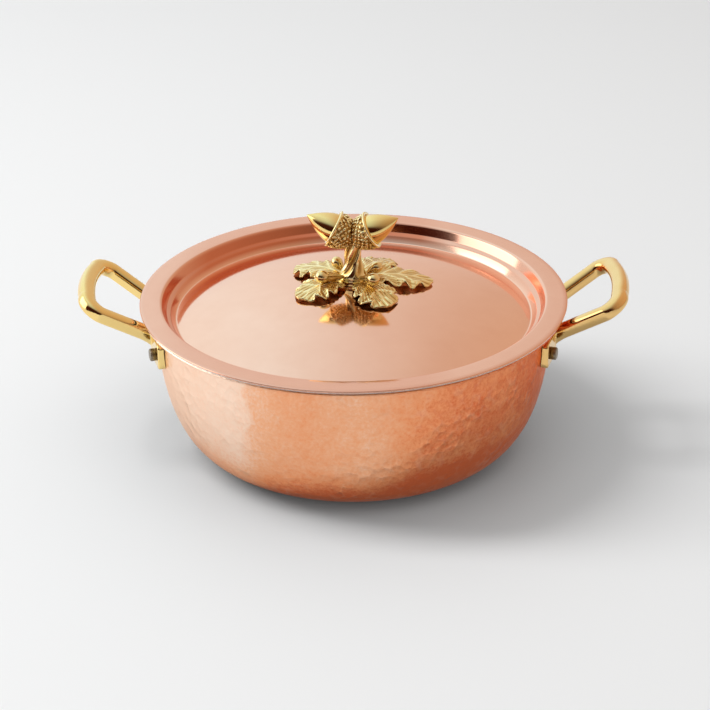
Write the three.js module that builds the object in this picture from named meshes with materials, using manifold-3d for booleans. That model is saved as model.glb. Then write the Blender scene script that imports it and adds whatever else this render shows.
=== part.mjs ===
// A hammered copper braiser with two riveted brass loop handles, and a sunk and domed lid
// that carries a cast knob of two acorns over five oak leaves. Millimetres, +Z up.
// The origin is the middle of the base, on the table; +X runs through the right handle.
import * as THREE from "three";
import { mergeVertices } from "three/addons/utils/BufferGeometryUtils.js";
import Module from "manifold-3d";

const wasm = await Module();
wasm.setup();

// Driving dimensions of the pan
const PAN_HEIGHT = 100; // table to the top of the copper rim
const RIM_RADIUS = 138.4;
const RIM_OVERHANG = 8.4; // how far the rim stands out from the wall under it
const WALL_RADIUS = RIM_RADIUS - RIM_OVERHANG;
const BASE_RADIUS = 76; // the flat that it stands on
const PAN_WALL = 2;
const RIM_FILLET = 3; // under the rim, where the wall turns outwards
const TIN = 0.4; // tin lining of the pan and of the lid
const SEAT = 0.3; // clearance between pieces that touch
const WALL_SWELL_POWER = 2.35; // how late the wall turns in, from rim to base
const BELLY_ROUND_POWER = 0.34; // how round the turn into the base is

// Driving dimensions of the lid, which follows the rim and steps down inside the wall
const LID_OVERHANG = 1.6;
const LID_RADIUS = RIM_RADIUS + LID_OVERHANG;
const LID_WALL = 1.2;
const STEP_CLEARANCE = 4.5; // from the wall's outside to the first step
const BRIM_INNER_RADIUS = WALL_RADIUS - STEP_CLEARANCE;
const OUTER_STEP_WIDTH = 2.9;
const LEDGE_WIDTH = 2.7;
const INNER_STEP_WIDTH = 3.3;
const LEDGE_OUTER_RADIUS = BRIM_INNER_RADIUS - OUTER_STEP_WIDTH;
const LEDGE_INNER_RADIUS = LEDGE_OUTER_RADIUS - LEDGE_WIDTH;
const PANEL_RADIUS = LEDGE_INNER_RADIUS - INNER_STEP_WIDTH;
const LEDGE_OUTER_DEPTH = 6.6; // below the brim
const LEDGE_INNER_DEPTH = 7.8;
const PANEL_DEPTH = 12.6;
const DOME_RISE = 21.8; // from the panel's edge to its middle
const HOLLOW_FILLET = 1.2; // radius of the lid's bends that are hollow from above
const BEND_INSIDE = 0.5; // radius under the lid's other bends, inside the tin

// Driving dimensions of a handle, which follows the wall and the rim
const HANDLE_STANDOFF = 40; // from the rim's edge to the outside of the end bar
const HANDLE_REACH = RIM_RADIUS + HANDLE_STANDOFF;
const ROOT_SINK = 6; // how far inside the wall's outline the arms start, before they are cut to it
const HANDLE_ROOT_RADIUS = WALL_RADIUS - ROOT_SINK;
const HANDLE_DROP = 19; // from the rim down to the arms' roots
const HANDLE_ROOT_HEIGHT = PAN_HEIGHT - HANDLE_DROP;
const HANDLE_RISE = 34.4; // from the root to the end bar
const ARM_SPREAD_ROOT = 21.6; // half the distance between the arms' middles
const ARM_SPREAD_END = 34.8;
const ARM_WIDTH = 9.8;
const ARM_THICKNESS = 9.8;
const END_BAR_WIDTH = 11;
const END_BAR_BOW = 2.6; // the end bar bends outwards in its middle
const LOOP_INNER_CORNER = 7;
const ROOT_FLARE = 3.6; // how much deeper each arm is where it grows out of its foot
const ROOT_FLARE_LENGTH = 15;
const FOOT_STANDOFF = 3.4; // from the wall's outside to the foot's flat face
const FOOT_FACE_RADIUS = WALL_RADIUS + FOOT_STANDOFF;
const FOOT_DROP = 10; // from the arms' roots to the foot's lower edge
const FOOT_HEIGHT = 17.6;
const FOOT_OUTWARD = 10.5; // from the rivet to the foot's free end
const FOOT_INWARD = 15.5; // from the rivet to the end under the arm
const FOOT_CORNER = 3.2;
const FOOT_EDGE = 0.8;

// Driving dimensions of a rivet
const RIVET_FROM_ARM = 16.9;
const RIVET_SIDE = ARM_SPREAD_ROOT + RIVET_FROM_ARM; // across the pan, from the handle's middle
const RIVET_DROP = 2.6; // below the arms' roots
const RIVET_HEIGHT = HANDLE_ROOT_HEIGHT - RIVET_DROP;
const SHANK_RADIUS = 1.65;
const BUTTON_RADIUS = 4.1;
const BUTTON_HEIGHT = 3.3;
const BUTTON_EDGE = 0.9;
const INNER_HEAD_RADIUS = 5.4;
const INNER_HEAD_HEIGHT = 1.9;

// Driving dimensions of the knob, heights from the top of the lid's panel
const KNOB_TURN_DEG = -6; // the screwed knob stands a little off the line of the handles
const STEM_HEIGHT = 28;
const ACORN_LIFT = 9; // from the top of the stem to the middle of the cups' mouths
const ACORN_HEIGHT = STEM_HEIGHT + ACORN_LIFT;
const ACORN_OFFSET = 12.2; // from the stem's axis to the middle of each mouth
const ACORN_TILT_DEG = 27;
const NUT_RADIUS = 9.9;
const NUT_LENGTH = 19.8;
const NUT_POINT_POWER = 1.65; // 1 is a cone, more is rounder
const NUT_SEAT = 2.4; // how deep the nut sits in its cup
const CUP_RADIUS = 11.8;
const CUP_LENGTH = 15.5;
const CUP_BEAD = 0.9; // round bead at the cup's mouth
const CUP_ROUND_POWER = 0.8; // 1 is half an oval, less is fuller
const HUB_RADIUS = 9.2;
const HUB_HEIGHT = 4.2;
const STEM_FOOT_RADIUS = 9;
const STEM_WAIST_RADIUS = 5.7;
const STEM_HEAD_RADIUS = 5.6;
const STEM_FLUTE = 1.3; // how deep the flutes are
const STEM_FLUTES = 5;
const STEM_TWIST_TURNS = 0.34;
const STUD_RADIUS = 1.65;
const STUD_LENGTH = 21;
const STUD_BORE_DEPTH = 12;
const WASHER_RADIUS = 6.5;
const WASHER_THICKNESS = 1.2;
const FIXING_NUT_RADIUS = 4.1; // to its corners
const FIXING_NUT_HEIGHT = 4;
const FIXING_NUT_SIDES = 6;

// Driving dimensions of the leaves and buds
const LEAF_LENGTH = 43; // the longest leaf; the others are shares of it
const LEAF_HALF_WIDTH = 14.6;
const LEAF_THICKNESS = 1.7;
const LEAF_ROOT_HALF_WIDTH = 4.2;
const LEAF_ARCH = 3.4; // how high a leaf rises between root and tip
const LEAF_DROOP = 1.6; // how far its edges hang
const LEAF_TIP_LIFT = 1.5; // underside of the tip above the lid
const LEAF_VEIN_DEPTH = 1.1; // valley along the midrib
const BUD_RADIUS = 3.8;
const BUD_REACH = 24; // from the stem's axis to the middle of the farthest bud
const BUD_HEIGHT = 9.7;
const BUD_STALK_RADIUS = 1.5;

// How finely the round forms are faceted
const AROUND_PAN = 36;
const AROUND_ACORN = 16;
const AROUND_SMALL = 12;
const AROUND_BAR = 10;
const FILLET_STEPS = 2;
const EDGE_STEPS = 3;

const deg = THREE.MathUtils.degToRad;

const copper = (color, roughness) =>
  new THREE.MeshStandardMaterial({ color, roughness, metalness: 1 });
const HAMMERED_COPPER = copper(0xd98a5f, 0.3);
const POLISHED_COPPER = copper(0xe3a585, 0.16);
const POLISHED_BRASS = new THREE.MeshStandardMaterial({ color: 0xd9b45c, roughness: 0.14, metalness: 1 });
const CAST_BRASS = new THREE.MeshStandardMaterial({ color: 0xc9a657, roughness: 0.34, metalness: 1 });
const BRIGHT_TIN = new THREE.MeshStandardMaterial({ color: 0xc6c8c6, roughness: 0.32, metalness: 1 });
const DARK_RIVET = new THREE.MeshStandardMaterial({ color: 0x6b5d45, roughness: 0.42, metalness: 1 });
const FIXING_STEEL = new THREE.MeshStandardMaterial({ color: 0xa9abad, roughness: 0.3, metalness: 1 });

function piece(name, geometry, material) {
  geometry.computeVertexNormals();
  const mesh = new THREE.Mesh(geometry, material.clone());
  mesh.name = name;
  return mesh;
}

// Solids that are joined or cut
function toSolid(geometry) {
  const bare = geometry.clone();
  bare.deleteAttribute("normal");
  bare.deleteAttribute("uv");
  const merged = mergeVertices(bare);
  return new wasm.Manifold(
    new wasm.Mesh({
      numProp: merged.attributes.position.itemSize,
      vertProperties: merged.attributes.position.array,
      triVerts: new Uint32Array(merged.index.array),
    }),
  );
}

function toGeometry(solid) {
  const mesh = solid.getMesh();
  return new THREE.BufferGeometry()
    .setAttribute("position", new THREE.BufferAttribute(mesh.vertProperties, mesh.numProp))
    .setIndex(new THREE.BufferAttribute(mesh.triVerts, 1));
}

const without = (solid, ...cutters) => cutters.reduce((rest, cutter) => rest.subtract(cutter), solid);

// A profile of [radius, height] points turned round the upright axis
const spin = (profile, around) => new THREE.LatheGeometry(profile, around).rotateX(Math.PI / 2);

// A closed skin over a row of rings of points, flat at both ends
function loft(rings) {
  const around = rings[0].length;
  const last = (rings.length - 1) * around;
  const middleOf = (ring) =>
    ring.reduce((sum, point) => sum.add(point), new THREE.Vector3()).divideScalar(around);
  const startMiddle = last + around;
  const endMiddle = startMiddle + 1;
  const index = [];
  for (let i = 0; i < around; i++) {
    const next = (i + 1) % around;
    for (let row = 0; row < last; row += around) {
      index.push(row + i, row + next, row + around + next);
      index.push(row + i, row + around + next, row + around + i);
    }
    index.push(startMiddle, next, i);
    index.push(endMiddle, last + i, last + next);
  }
  const points = [...rings.flat(), middleOf(rings[0]), middleOf(rings.at(-1))];
  return new THREE.BufferGeometry().setFromPoints(points).setIndex(index);
}

// A path of [radius, height, fillet] corners, with an arc at each corner that has a fillet
function roundedPath(corners) {
  const at = (c) => new THREE.Vector2(c[0], c[1]);
  return corners.flatMap((corner, i) => {
    const [, , fillet] = corner;
    if (!fillet) return [at(corner)];
    const here = at(corner);
    const back = at(corners[i - 1]).sub(here).normalize();
    const on = at(corners[i + 1]).sub(here).normalize();
    const half = Math.acos(back.dot(on)) / 2;
    const middle = back.clone().add(on).normalize().multiplyScalar(fillet / Math.sin(half)).add(here);
    const start = back.multiplyScalar(fillet / Math.tan(half)).add(here).sub(middle);
    const end = on.multiplyScalar(fillet / Math.tan(half)).add(here).sub(middle);
    const turn = Math.atan2(start.cross(end), start.dot(end));
    return Array.from({ length: FILLET_STEPS + 1 }, (_, step) =>
      start.clone().rotateAround(new THREE.Vector2(), (turn * step) / FILLET_STEPS).add(middle),
    );
  });
}

// The path moved sideways, to its left, by a distance
function offsetPath(path, distance) {
  const normalOf = (a, b) => new THREE.Vector2(a.y - b.y, b.x - a.x).normalize();
  return path.map((point, i) => {
    const before = i > 0 ? normalOf(path[i - 1], point) : null;
    const after = i + 1 < path.length ? normalOf(point, path[i + 1]) : null;
    if (!before || !after) return (before ?? after).clone().multiplyScalar(distance).add(point);
    const middle = before.clone().add(after).normalize();
    return middle.multiplyScalar(distance / middle.dot(before)).add(point);
  });
}

// Sheet metal spun round the axis: the layer between two offsets of a path. A bare sheet has its
// outer edge rounded; a lining stops short of the edge that it lies on.
function spunSheet(path, inset, thickness, edgeTrim = 0) {
  const trimmed = path.slice();
  const last = trimmed.at(-1);
  const along = last.clone().sub(trimmed.at(-2)).normalize();
  trimmed[trimmed.length - 1] = last.clone().addScaledVector(along, -edgeTrim - thickness / 2);
  const lower = offsetPath(trimmed, inset);
  const upper = offsetPath(trimmed, inset + thickness);
  const middle = lower.at(-1).clone().add(upper.at(-1)).divideScalar(2);
  const edgeSteps = edgeTrim ? 1 : EDGE_STEPS;
  const edge = Array.from({ length: edgeSteps - 1 }, (_, step) =>
    lower.at(-1).clone().rotateAround(middle, (Math.PI * (step + 1)) / edgeSteps),
  );
  const profile = [...lower, ...edge, ...upper.reverse()];
  if (path[0].x > 0) profile.push(profile[0].clone());
  return spin(profile, AROUND_PAN);
}

// Where the wall's outside lies at a height above the table
function wallRadiusAt(height) {
  const share = Math.max(0, 1 - height / PAN_HEIGHT);
  const round = (1 - share ** WALL_SWELL_POWER) ** BELLY_ROUND_POWER;
  return BASE_RADIUS + (WALL_RADIUS - BASE_RADIUS) * round;
}

// The pan's outside, from the middle of the base out to the rim's edge. Heights are spaced so
// that the points crowd together where the belly turns into the base.
const WALL_STEPS = 8;
const RIM_UNDERSIDE = PAN_HEIGHT - PAN_WALL;
const wallPoints = Array.from({ length: WALL_STEPS }, (_, step) => {
  const share = Math.cos(((Math.PI / 2) * (step + 1)) / (WALL_STEPS + 1)) ** (2 / WALL_SWELL_POWER);
  const height = PAN_HEIGHT * (1 - share);
  return [wallRadiusAt(height), height];
}).filter(([, height]) => height < RIM_UNDERSIDE - RIM_FILLET - RIM_FILLET);
const panPath = roundedPath([
  [0, 0],
  [BASE_RADIUS, 0],
  ...wallPoints,
  [WALL_RADIUS, RIM_UNDERSIDE, RIM_FILLET],
  [RIM_RADIUS, RIM_UNDERSIDE],
]);

// The lid's upper face, from the knob's hole out to the brim's edge, heights from the brim
const STUD_HOLE = STUD_RADIUS + SEAT;
const DOME_STEPS = 3;
const DOME_RADIUS = (PANEL_RADIUS ** 2 + DOME_RISE ** 2) / (2 * DOME_RISE);
const domeDrop = (radius) => DOME_RADIUS - Math.sqrt(DOME_RADIUS ** 2 - radius ** 2);
const DOME_TOP = DOME_RISE - PANEL_DEPTH;
const domePoints = Array.from({ length: DOME_STEPS }, (_, step) => {
  const radius = STUD_HOLE + ((PANEL_RADIUS - STUD_HOLE) * step) / DOME_STEPS;
  return [radius, DOME_TOP - domeDrop(radius)];
});
const OUTER_FILLET = LID_WALL + SEAT + TIN + BEND_INSIDE;
const lidPath = roundedPath([
  ...domePoints,
  [PANEL_RADIUS, -PANEL_DEPTH, HOLLOW_FILLET],
  [LEDGE_INNER_RADIUS, -LEDGE_INNER_DEPTH, OUTER_FILLET],
  [LEDGE_OUTER_RADIUS, -LEDGE_OUTER_DEPTH, HOLLOW_FILLET],
  [BRIM_INNER_RADIUS, 0, OUTER_FILLET],
  [LID_RADIUS, 0],
]);

// A round bar along X from one distance from the axis to another
function roundBar(radius, from, to, around = AROUND_SMALL) {
  return new THREE.CylinderGeometry(radius, radius, to - from, around)
    .rotateZ(-Math.PI / 2)
    .translate((from + to) / 2, 0, 0);
}

const RIVET_AZIMUTH = Math.asin(RIVET_SIDE / FOOT_FACE_RADIUS);
const rivetPlaces = [
  ["right_front", -RIVET_AZIMUTH],
  ["right_back", RIVET_AZIMUTH],
  ["left_front", Math.PI + RIVET_AZIMUTH],
  ["left_back", Math.PI - RIVET_AZIMUTH],
];
const placeAtRivet = (geometry, azimuth) =>
  geometry.translate(0, 0, RIVET_HEIGHT).rotateZ(azimuth);
const rivetHoles = rivetPlaces.map(([, azimuth]) =>
  toSolid(placeAtRivet(roundBar(SHANK_RADIUS + SEAT, BASE_RADIUS, HANDLE_REACH), azimuth)),
);

// Pan: the copper body and its tin lining, both pierced for the rivets
const TIN_INSET = PAN_WALL + SEAT;
function panPieces() {
  const shell = without(toSolid(spunSheet(panPath, 0, PAN_WALL)), ...rivetHoles);
  const lining = without(toSolid(spunSheet(panPath, TIN_INSET, TIN, PAN_WALL)), ...rivetHoles);
  return [
    piece("pan_shell", toGeometry(shell), HAMMERED_COPPER),
    piece("pan_lining", toGeometry(lining), BRIGHT_TIN),
  ];
}

// The space that the pan's body fills, with the clearance that the feet keep to it
function panEnvelope() {
  const outside = offsetPath(panPath, -SEAT);
  return toSolid(spin([...outside, new THREE.Vector2(0, outside.at(-1).y)], AROUND_PAN));
}

// One arm-to-arm outline of the handle's loop in its own sloping plane: along the reach, across.
// Corners are quarter bends, and the end bar bows outwards.
const BEND_STEPS = 4;
const BAR_STEPS = 3;
const ARM_STEPS = 5;
function loopOutline(reach, rootSpread, endSpread, corner, bow) {
  const half = [];
  const armEnd = reach - corner;
  for (let step = 0; step < ARM_STEPS; step++) {
    const share = step / ARM_STEPS;
    half.push([armEnd * share, rootSpread + (endSpread - rootSpread) * share]);
  }
  for (let step = 0; step <= BEND_STEPS; step++) {
    const turn = ((Math.PI / 2) * step) / BEND_STEPS;
    half.push([armEnd + corner * Math.sin(turn), endSpread - corner * (1 - Math.cos(turn))]);
  }
  const flat = endSpread - corner;
  for (let step = 1; step <= BAR_STEPS; step++) {
    const share = step / BAR_STEPS;
    half.push([reach + bow * (1 - (1 - share) ** 2), flat * (1 - share)]);
  }
  const mirrored = half.slice(0, -1).reverse().map(([along, across]) => [along, -across]);
  return [...half, ...mirrored];
}

// The handle's loop: bars of a rounded square section between an inner and an outer outline
const SECTION_POWER = 0.62; // 1 is an ellipse, 0 a rectangle
function handleLoop() {
  const slopeRun = HANDLE_REACH - HANDLE_ROOT_RADIUS;
  const slope = Math.atan2(HANDLE_RISE, slopeRun);
  const reach = Math.hypot(slopeRun, HANDLE_RISE) - END_BAR_BOW;
  const halfArm = ARM_WIDTH / 2;
  const outer = loopOutline(
    reach,
    ARM_SPREAD_ROOT + halfArm,
    ARM_SPREAD_END + halfArm,
    LOOP_INNER_CORNER + ARM_WIDTH,
    END_BAR_BOW,
  );
  const inner = loopOutline(
    reach - END_BAR_WIDTH,
    ARM_SPREAD_ROOT - halfArm,
    ARM_SPREAD_END - halfArm,
    LOOP_INNER_CORNER,
    END_BAR_BOW,
  );
  const signedPower = (value) => Math.sign(value) * Math.abs(value) ** SECTION_POWER;
  const rings = outer.map(([outerAlong, outerAcross], i) => {
    const [innerAlong, innerAcross] = inner[i];
    const along = (outerAlong + innerAlong) / 2;
    const across = (outerAcross + innerAcross) / 2;
    const flareShare = Math.max(0, 1 - along / ROOT_FLARE_LENGTH) ** 2;
    const below = ARM_THICKNESS / 2 + ROOT_FLARE * flareShare;
    return Array.from({ length: AROUND_BAR }, (_, k) => {
      const angle = (2 * Math.PI * (k + 0.5)) / AROUND_BAR;
      const wide = signedPower(Math.cos(angle));
      const high = signedPower(Math.sin(angle));
      return new THREE.Vector3(
        along + ((outerAlong - innerAlong) / 2) * wide,
        across + ((outerAcross - innerAcross) / 2) * wide,
        high * (high > 0 ? ARM_THICKNESS / 2 : below),
      );
    });
  });
  return loft(rings)
    .rotateY(-slope)
    .translate(HANDLE_ROOT_RADIUS, 0, HANDLE_ROOT_HEIGHT);
}

// A foot: a flat lug against the wall, turned outwards from its arm, with the rivet through it
function handleFoot(side) {
  const bottom = RIVET_DROP - FOOT_DROP + FOOT_EDGE;
  const top = bottom + FOOT_HEIGHT - 2 * FOOT_EDGE;
  const free = side * (FOOT_OUTWARD - FOOT_EDGE);
  const under = -side * (FOOT_INWARD - FOOT_EDGE);
  const left = Math.min(free, under);
  const right = Math.max(free, under);
  const outline = new THREE.Shape();
  outline.moveTo(left + FOOT_CORNER, bottom);
  outline.lineTo(right - FOOT_CORNER, bottom);
  outline.quadraticCurveTo(right, bottom, right, bottom + FOOT_CORNER);
  outline.lineTo(right, top - FOOT_CORNER);
  outline.quadraticCurveTo(right, top, right - FOOT_CORNER, top);
  outline.lineTo(left + FOOT_CORNER, top);
  outline.quadraticCurveTo(left, top, left, top - FOOT_CORNER);
  outline.lineTo(left, bottom + FOOT_CORNER);
  outline.quadraticCurveTo(left, bottom, left + FOOT_CORNER, bottom);
  const lug = new THREE.ExtrudeGeometry(outline, {
    depth: FOOT_FACE_RADIUS - HANDLE_ROOT_RADIUS,
    bevelThickness: FOOT_EDGE,
    bevelSize: FOOT_EDGE,
    bevelSegments: 1,
    curveSegments: FILLET_STEPS,
  });
  lug.applyMatrix4(
    new THREE.Matrix4().makeBasis(
      new THREE.Vector3(0, 1, 0),
      new THREE.Vector3(0, 0, 1),
      new THREE.Vector3(1, 0, 0),
    ),
  );
  lug.translate(HANDLE_ROOT_RADIUS - FOOT_EDGE, 0, 0);
  return toSolid(placeAtRivet(lug, side * RIVET_AZIMUTH));
}

function handles() {
  const rough = toSolid(handleLoop()).add(handleFoot(1)).add(handleFoot(-1));
  const right = without(rough, panEnvelope(), ...rivetHoles);
  const left = toGeometry(right).rotateZ(Math.PI);
  return [
    piece("handle_right", toGeometry(right), POLISHED_BRASS),
    piece("handle_left", left, POLISHED_BRASS),
  ];
}

// Rivets: dark button head outside, shank, low domed head against the tin inside
function rivetGeometry() {
  const seat = FOOT_FACE_RADIUS + SEAT;
  const tinRadius = wallRadiusAt(RIVET_HEIGHT - INNER_HEAD_RADIUS) - TIN_INSET - TIN;
  const facetRadius = tinRadius * Math.cos(Math.PI / AROUND_PAN);
  const inner = Math.sqrt(facetRadius ** 2 - INNER_HEAD_RADIUS ** 2) - SEAT;
  const dome = Array.from({ length: EDGE_STEPS + 1 }, (_, step) => {
    const turn = ((Math.PI / 2) * step) / EDGE_STEPS;
    const height = INNER_HEAD_HEIGHT * Math.cos(turn);
    return new THREE.Vector2(INNER_HEAD_RADIUS * Math.sin(turn), inner - height);
  });
  const button = roundedPath([
    [SHANK_RADIUS, seat],
    [BUTTON_RADIUS, seat],
    [BUTTON_RADIUS, seat + BUTTON_HEIGHT, BUTTON_EDGE],
    [0, seat + BUTTON_HEIGHT],
  ]);
  const profile = [...dome, new THREE.Vector2(SHANK_RADIUS, inner), ...button];
  return new THREE.LatheGeometry(profile, AROUND_SMALL).rotateZ(-Math.PI / 2);
}

const rivets = () =>
  rivetPlaces.map(([name, azimuth]) =>
    piece("rivet_" + name, placeAtRivet(rivetGeometry(), azimuth), DARK_RIVET),
  );

// Lid: the copper sheet and the tin under it, both open in the middle for the knob's stud
const LID_REST_HEIGHT = PAN_HEIGHT + 3 * SEAT + 2 * TIN + LID_WALL;
const lidLayer = (depth, thickness, edgeTrim) =>
  spunSheet(lidPath, -depth - thickness, thickness, edgeTrim);
const lidPieces = () => [
  piece("lid_shell", lidLayer(0, LID_WALL, 0), POLISHED_COPPER),
  piece("lid_lining", lidLayer(LID_WALL + SEAT, TIN, LID_WALL), BRIGHT_TIN),
];

// Stem: a round hub, then a shaft of twisted flutes that swells again under the cups
const FLUTE_STEPS = 4;
const STEM_ROWS = 8;
const FLUTE_START_SHARE = 0.25; // of the shaft, over which the flutes deepen
const FLUTE_NARROW_POWER = 2.2; // more makes the flutes narrower and the ridges broader
function stem() {
  const around = FLUTE_STEPS * STEM_FLUTES;
  const smooth = (share) => share * share * (3 - 2 * share);
  const ring = (height, radius, flute, turn) =>
    Array.from({ length: around }, (_, k) => {
      const angle = (2 * Math.PI * k) / around;
      const groove = ((1 + Math.cos(STEM_FLUTES * angle)) / 2) ** FLUTE_NARROW_POWER;
      const r = radius - flute * groove;
      return new THREE.Vector3(r * Math.cos(angle + turn), r * Math.sin(angle + turn), height);
    });
  const shaft = Array.from({ length: STEM_ROWS + 1 }, (_, row) => {
    const share = row / STEM_ROWS;
    const radius =
      share < 0.5
        ? STEM_FOOT_RADIUS + (STEM_WAIST_RADIUS - STEM_FOOT_RADIUS) * smooth(2 * share)
        : STEM_WAIST_RADIUS + (STEM_HEAD_RADIUS - STEM_WAIST_RADIUS) * smooth(2 * share - 1);
    const height = HUB_HEIGHT + (STEM_HEIGHT - HUB_HEIGHT) * share;
    const flute = STEM_FLUTE * smooth(Math.min(1, share / FLUTE_START_SHARE));
    return ring(height, radius, flute, 2 * Math.PI * STEM_TWIST_TURNS * share);
  });
  const hub = [ring(SEAT, HUB_RADIUS, 0, 0), ring(HUB_HEIGHT, HUB_RADIUS, 0, 0)];
  const bore = roundBar(STUD_RADIUS + SEAT, -STUD_BORE_DEPTH, STUD_BORE_DEPTH).rotateY(-Math.PI / 2);
  return toGeometry(without(toSolid(loft([...hub, ...shaft])), toSolid(bore)));
}

// Acorn cup along +Z from the middle of its mouth: a round bowl with a beaded lip and a seat
// for the nut. The inner side of the bowl is cut flat where the two cups meet.
const CUP_STEPS = 5;
function cupProfile() {
  const belly = CUP_LENGTH - CUP_BEAD;
  const bowl = Array.from({ length: CUP_STEPS + 1 }, (_, step) => {
    const turn = ((Math.PI / 2) * step) / CUP_STEPS;
    const radius = CUP_RADIUS * Math.sin(turn) ** CUP_ROUND_POWER;
    return new THREE.Vector2(radius, -CUP_BEAD - belly * Math.cos(turn));
  });
  const lip = [-1, 0, 1].map((step) => {
    const turn = (Math.PI / 4) * step;
    return new THREE.Vector2(CUP_RADIUS + CUP_BEAD * Math.cos(turn), CUP_BEAD * Math.sin(turn));
  });
  const seatRadius = NUT_RADIUS + SEAT;
  return [
    ...bowl,
    ...lip,
    new THREE.Vector2(CUP_RADIUS, CUP_BEAD),
    new THREE.Vector2(seatRadius, CUP_BEAD),
    new THREE.Vector2(seatRadius, -NUT_SEAT),
    new THREE.Vector2(0, -NUT_SEAT),
  ];
}

// Acorn nut along +Z: a short straight neck in the cup, then a pointed oval with a tiny nib
const NUT_STEPS = 6;
function nutProfile() {
  const oval = Array.from({ length: NUT_STEPS }, (_, step) => {
    const share = step / NUT_STEPS;
    return new THREE.Vector2(NUT_RADIUS * (1 - share ** NUT_POINT_POWER), NUT_LENGTH * share);
  });
  return [
    new THREE.Vector2(0, SEAT - NUT_SEAT),
    new THREE.Vector2(NUT_RADIUS, SEAT - NUT_SEAT),
    ...oval,
    new THREE.Vector2(0, NUT_LENGTH),
  ];
}

function acorn(name, side) {
  const lay = new THREE.Matrix4()
    .makeTranslation(side * ACORN_OFFSET, 0, ACORN_HEIGHT)
    .multiply(new THREE.Matrix4().makeRotationY(side * (Math.PI / 2 - deg(ACORN_TILT_DEG))));
  const turned = (profile) => spin(profile, AROUND_ACORN).applyMatrix4(lay);
  const far = 2 * (ACORN_OFFSET + CUP_LENGTH);
  const otherSide = new THREE.BoxGeometry(far, far, 2 * (ACORN_HEIGHT + far))
    .translate(side * (SEAT / 2 - far / 2), 0, 0);
  const stemSpace = roundBar(STEM_HEAD_RADIUS + SEAT, 0, STEM_HEIGHT + SEAT).rotateY(-Math.PI / 2);
  const cup = without(toSolid(turned(cupProfile())), toSolid(otherSide), toSolid(stemSpace));
  return [
    piece("acorn_cup_" + name, toGeometry(cup), CAST_BRASS),
    piece("acorn_nut_" + name, turned(nutProfile()), POLISHED_BRASS),
  ];
}

// An oak leaf that grows out of the hub: a lobed outline that is widest past its middle, a
// valley along the midrib, and an arch over the dome from which the lobed edges droop. On each
// side it keeps to its own half of the space up to the next leaf.
const LEAF_ROWS = 16;
const LEAF_LOBES = 4;
const LOBE_MEAN_SHARE = 0.83; // of the leaf's full half width, between lobe and bay
const LOBE_DEPTH_SHARE = 0.17;
const SWELL_LATE_POWER = 1.2; // more puts the widest place nearer to the tip
const SWELL_ROUND_POWER = 0.7;
const TIP_SHARE = 0.4; // half width of the tip, of the root's
const ARCH_EARLY_POWER = 0.8;
const leafAcrossShares = [-1, -0.5, 0, 0.5, 1];
function oakLeaf(length, roomAhead, roomBehind) {
  const rings = Array.from({ length: LEAF_ROWS + 1 }, (_, row) => {
    const share = row / LEAF_ROWS;
    const along = HUB_RADIUS + SEAT + length * share;
    const swell = Math.sin(Math.PI * share ** SWELL_LATE_POWER) ** SWELL_ROUND_POWER || 0;
    const lobes = LOBE_MEAN_SHARE - LOBE_DEPTH_SHARE * Math.cos(2 * Math.PI * LEAF_LOBES * share);
    const narrow = LEAF_ROOT_HALF_WIDTH * (1 + (TIP_SHARE - 1) * share);
    const half = narrow + (LEAF_HALF_WIDTH - narrow) * swell * lobes;
    const under = LEAF_TIP_LIFT + LEAF_ARCH * Math.sin(Math.PI * share ** ARCH_EARLY_POWER);
    const point = (across, lift) => {
      const room = across > 0 ? roomAhead : roomBehind;
      const y = across * Math.min(half, along * Math.tan(room) - SEAT / 2 / Math.cos(room));
      const floor = -domeDrop(Math.hypot(along, y));
      const droop = LEAF_DROOP * across ** 2 * swell;
      const valley = LEAF_VEIN_DEPTH * (1 - Math.abs(across)) ** 2 * swell;
      const height = Math.max(floor + SEAT + LEAF_TIP_LIFT / 2, floor + under - droop - valley);
      return new THREE.Vector3(along, y, height + lift);
    };
    const bottom = leafAcrossShares.map((across) => point(across, 0));
    const top = leafAcrossShares.map((across) => point(across, LEAF_THICKNESS)).reverse();
    return [...bottom, ...top];
  });
  return loft(rings);
}

// Each leaf's azimuth in degrees and its share of the longest leaf
const leafPlaces = [
  ["right", 12, 1],
  ["back_right", 64, 0.82],
  ["back_left", 150, 0.88],
  ["front_left", 219, 0.78],
  ["front_right", 308, 0.8],
];
const turnBetween = (from, to) => deg((to - from + 360) % 360);
const leaves = () =>
  leafPlaces.map(([name, azimuth, lengthShare], i) => {
    const next = leafPlaces[(i + 1) % leafPlaces.length][1];
    const previous = leafPlaces.at(i - 1)[1];
    const leaf = oakLeaf(
      LEAF_LENGTH * lengthShare,
      turnBetween(azimuth, next) / 2,
      turnBetween(previous, azimuth) / 2,
    );
    return piece("leaf_" + name, leaf.rotateZ(deg(azimuth)), CAST_BRASS);
  });

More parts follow.
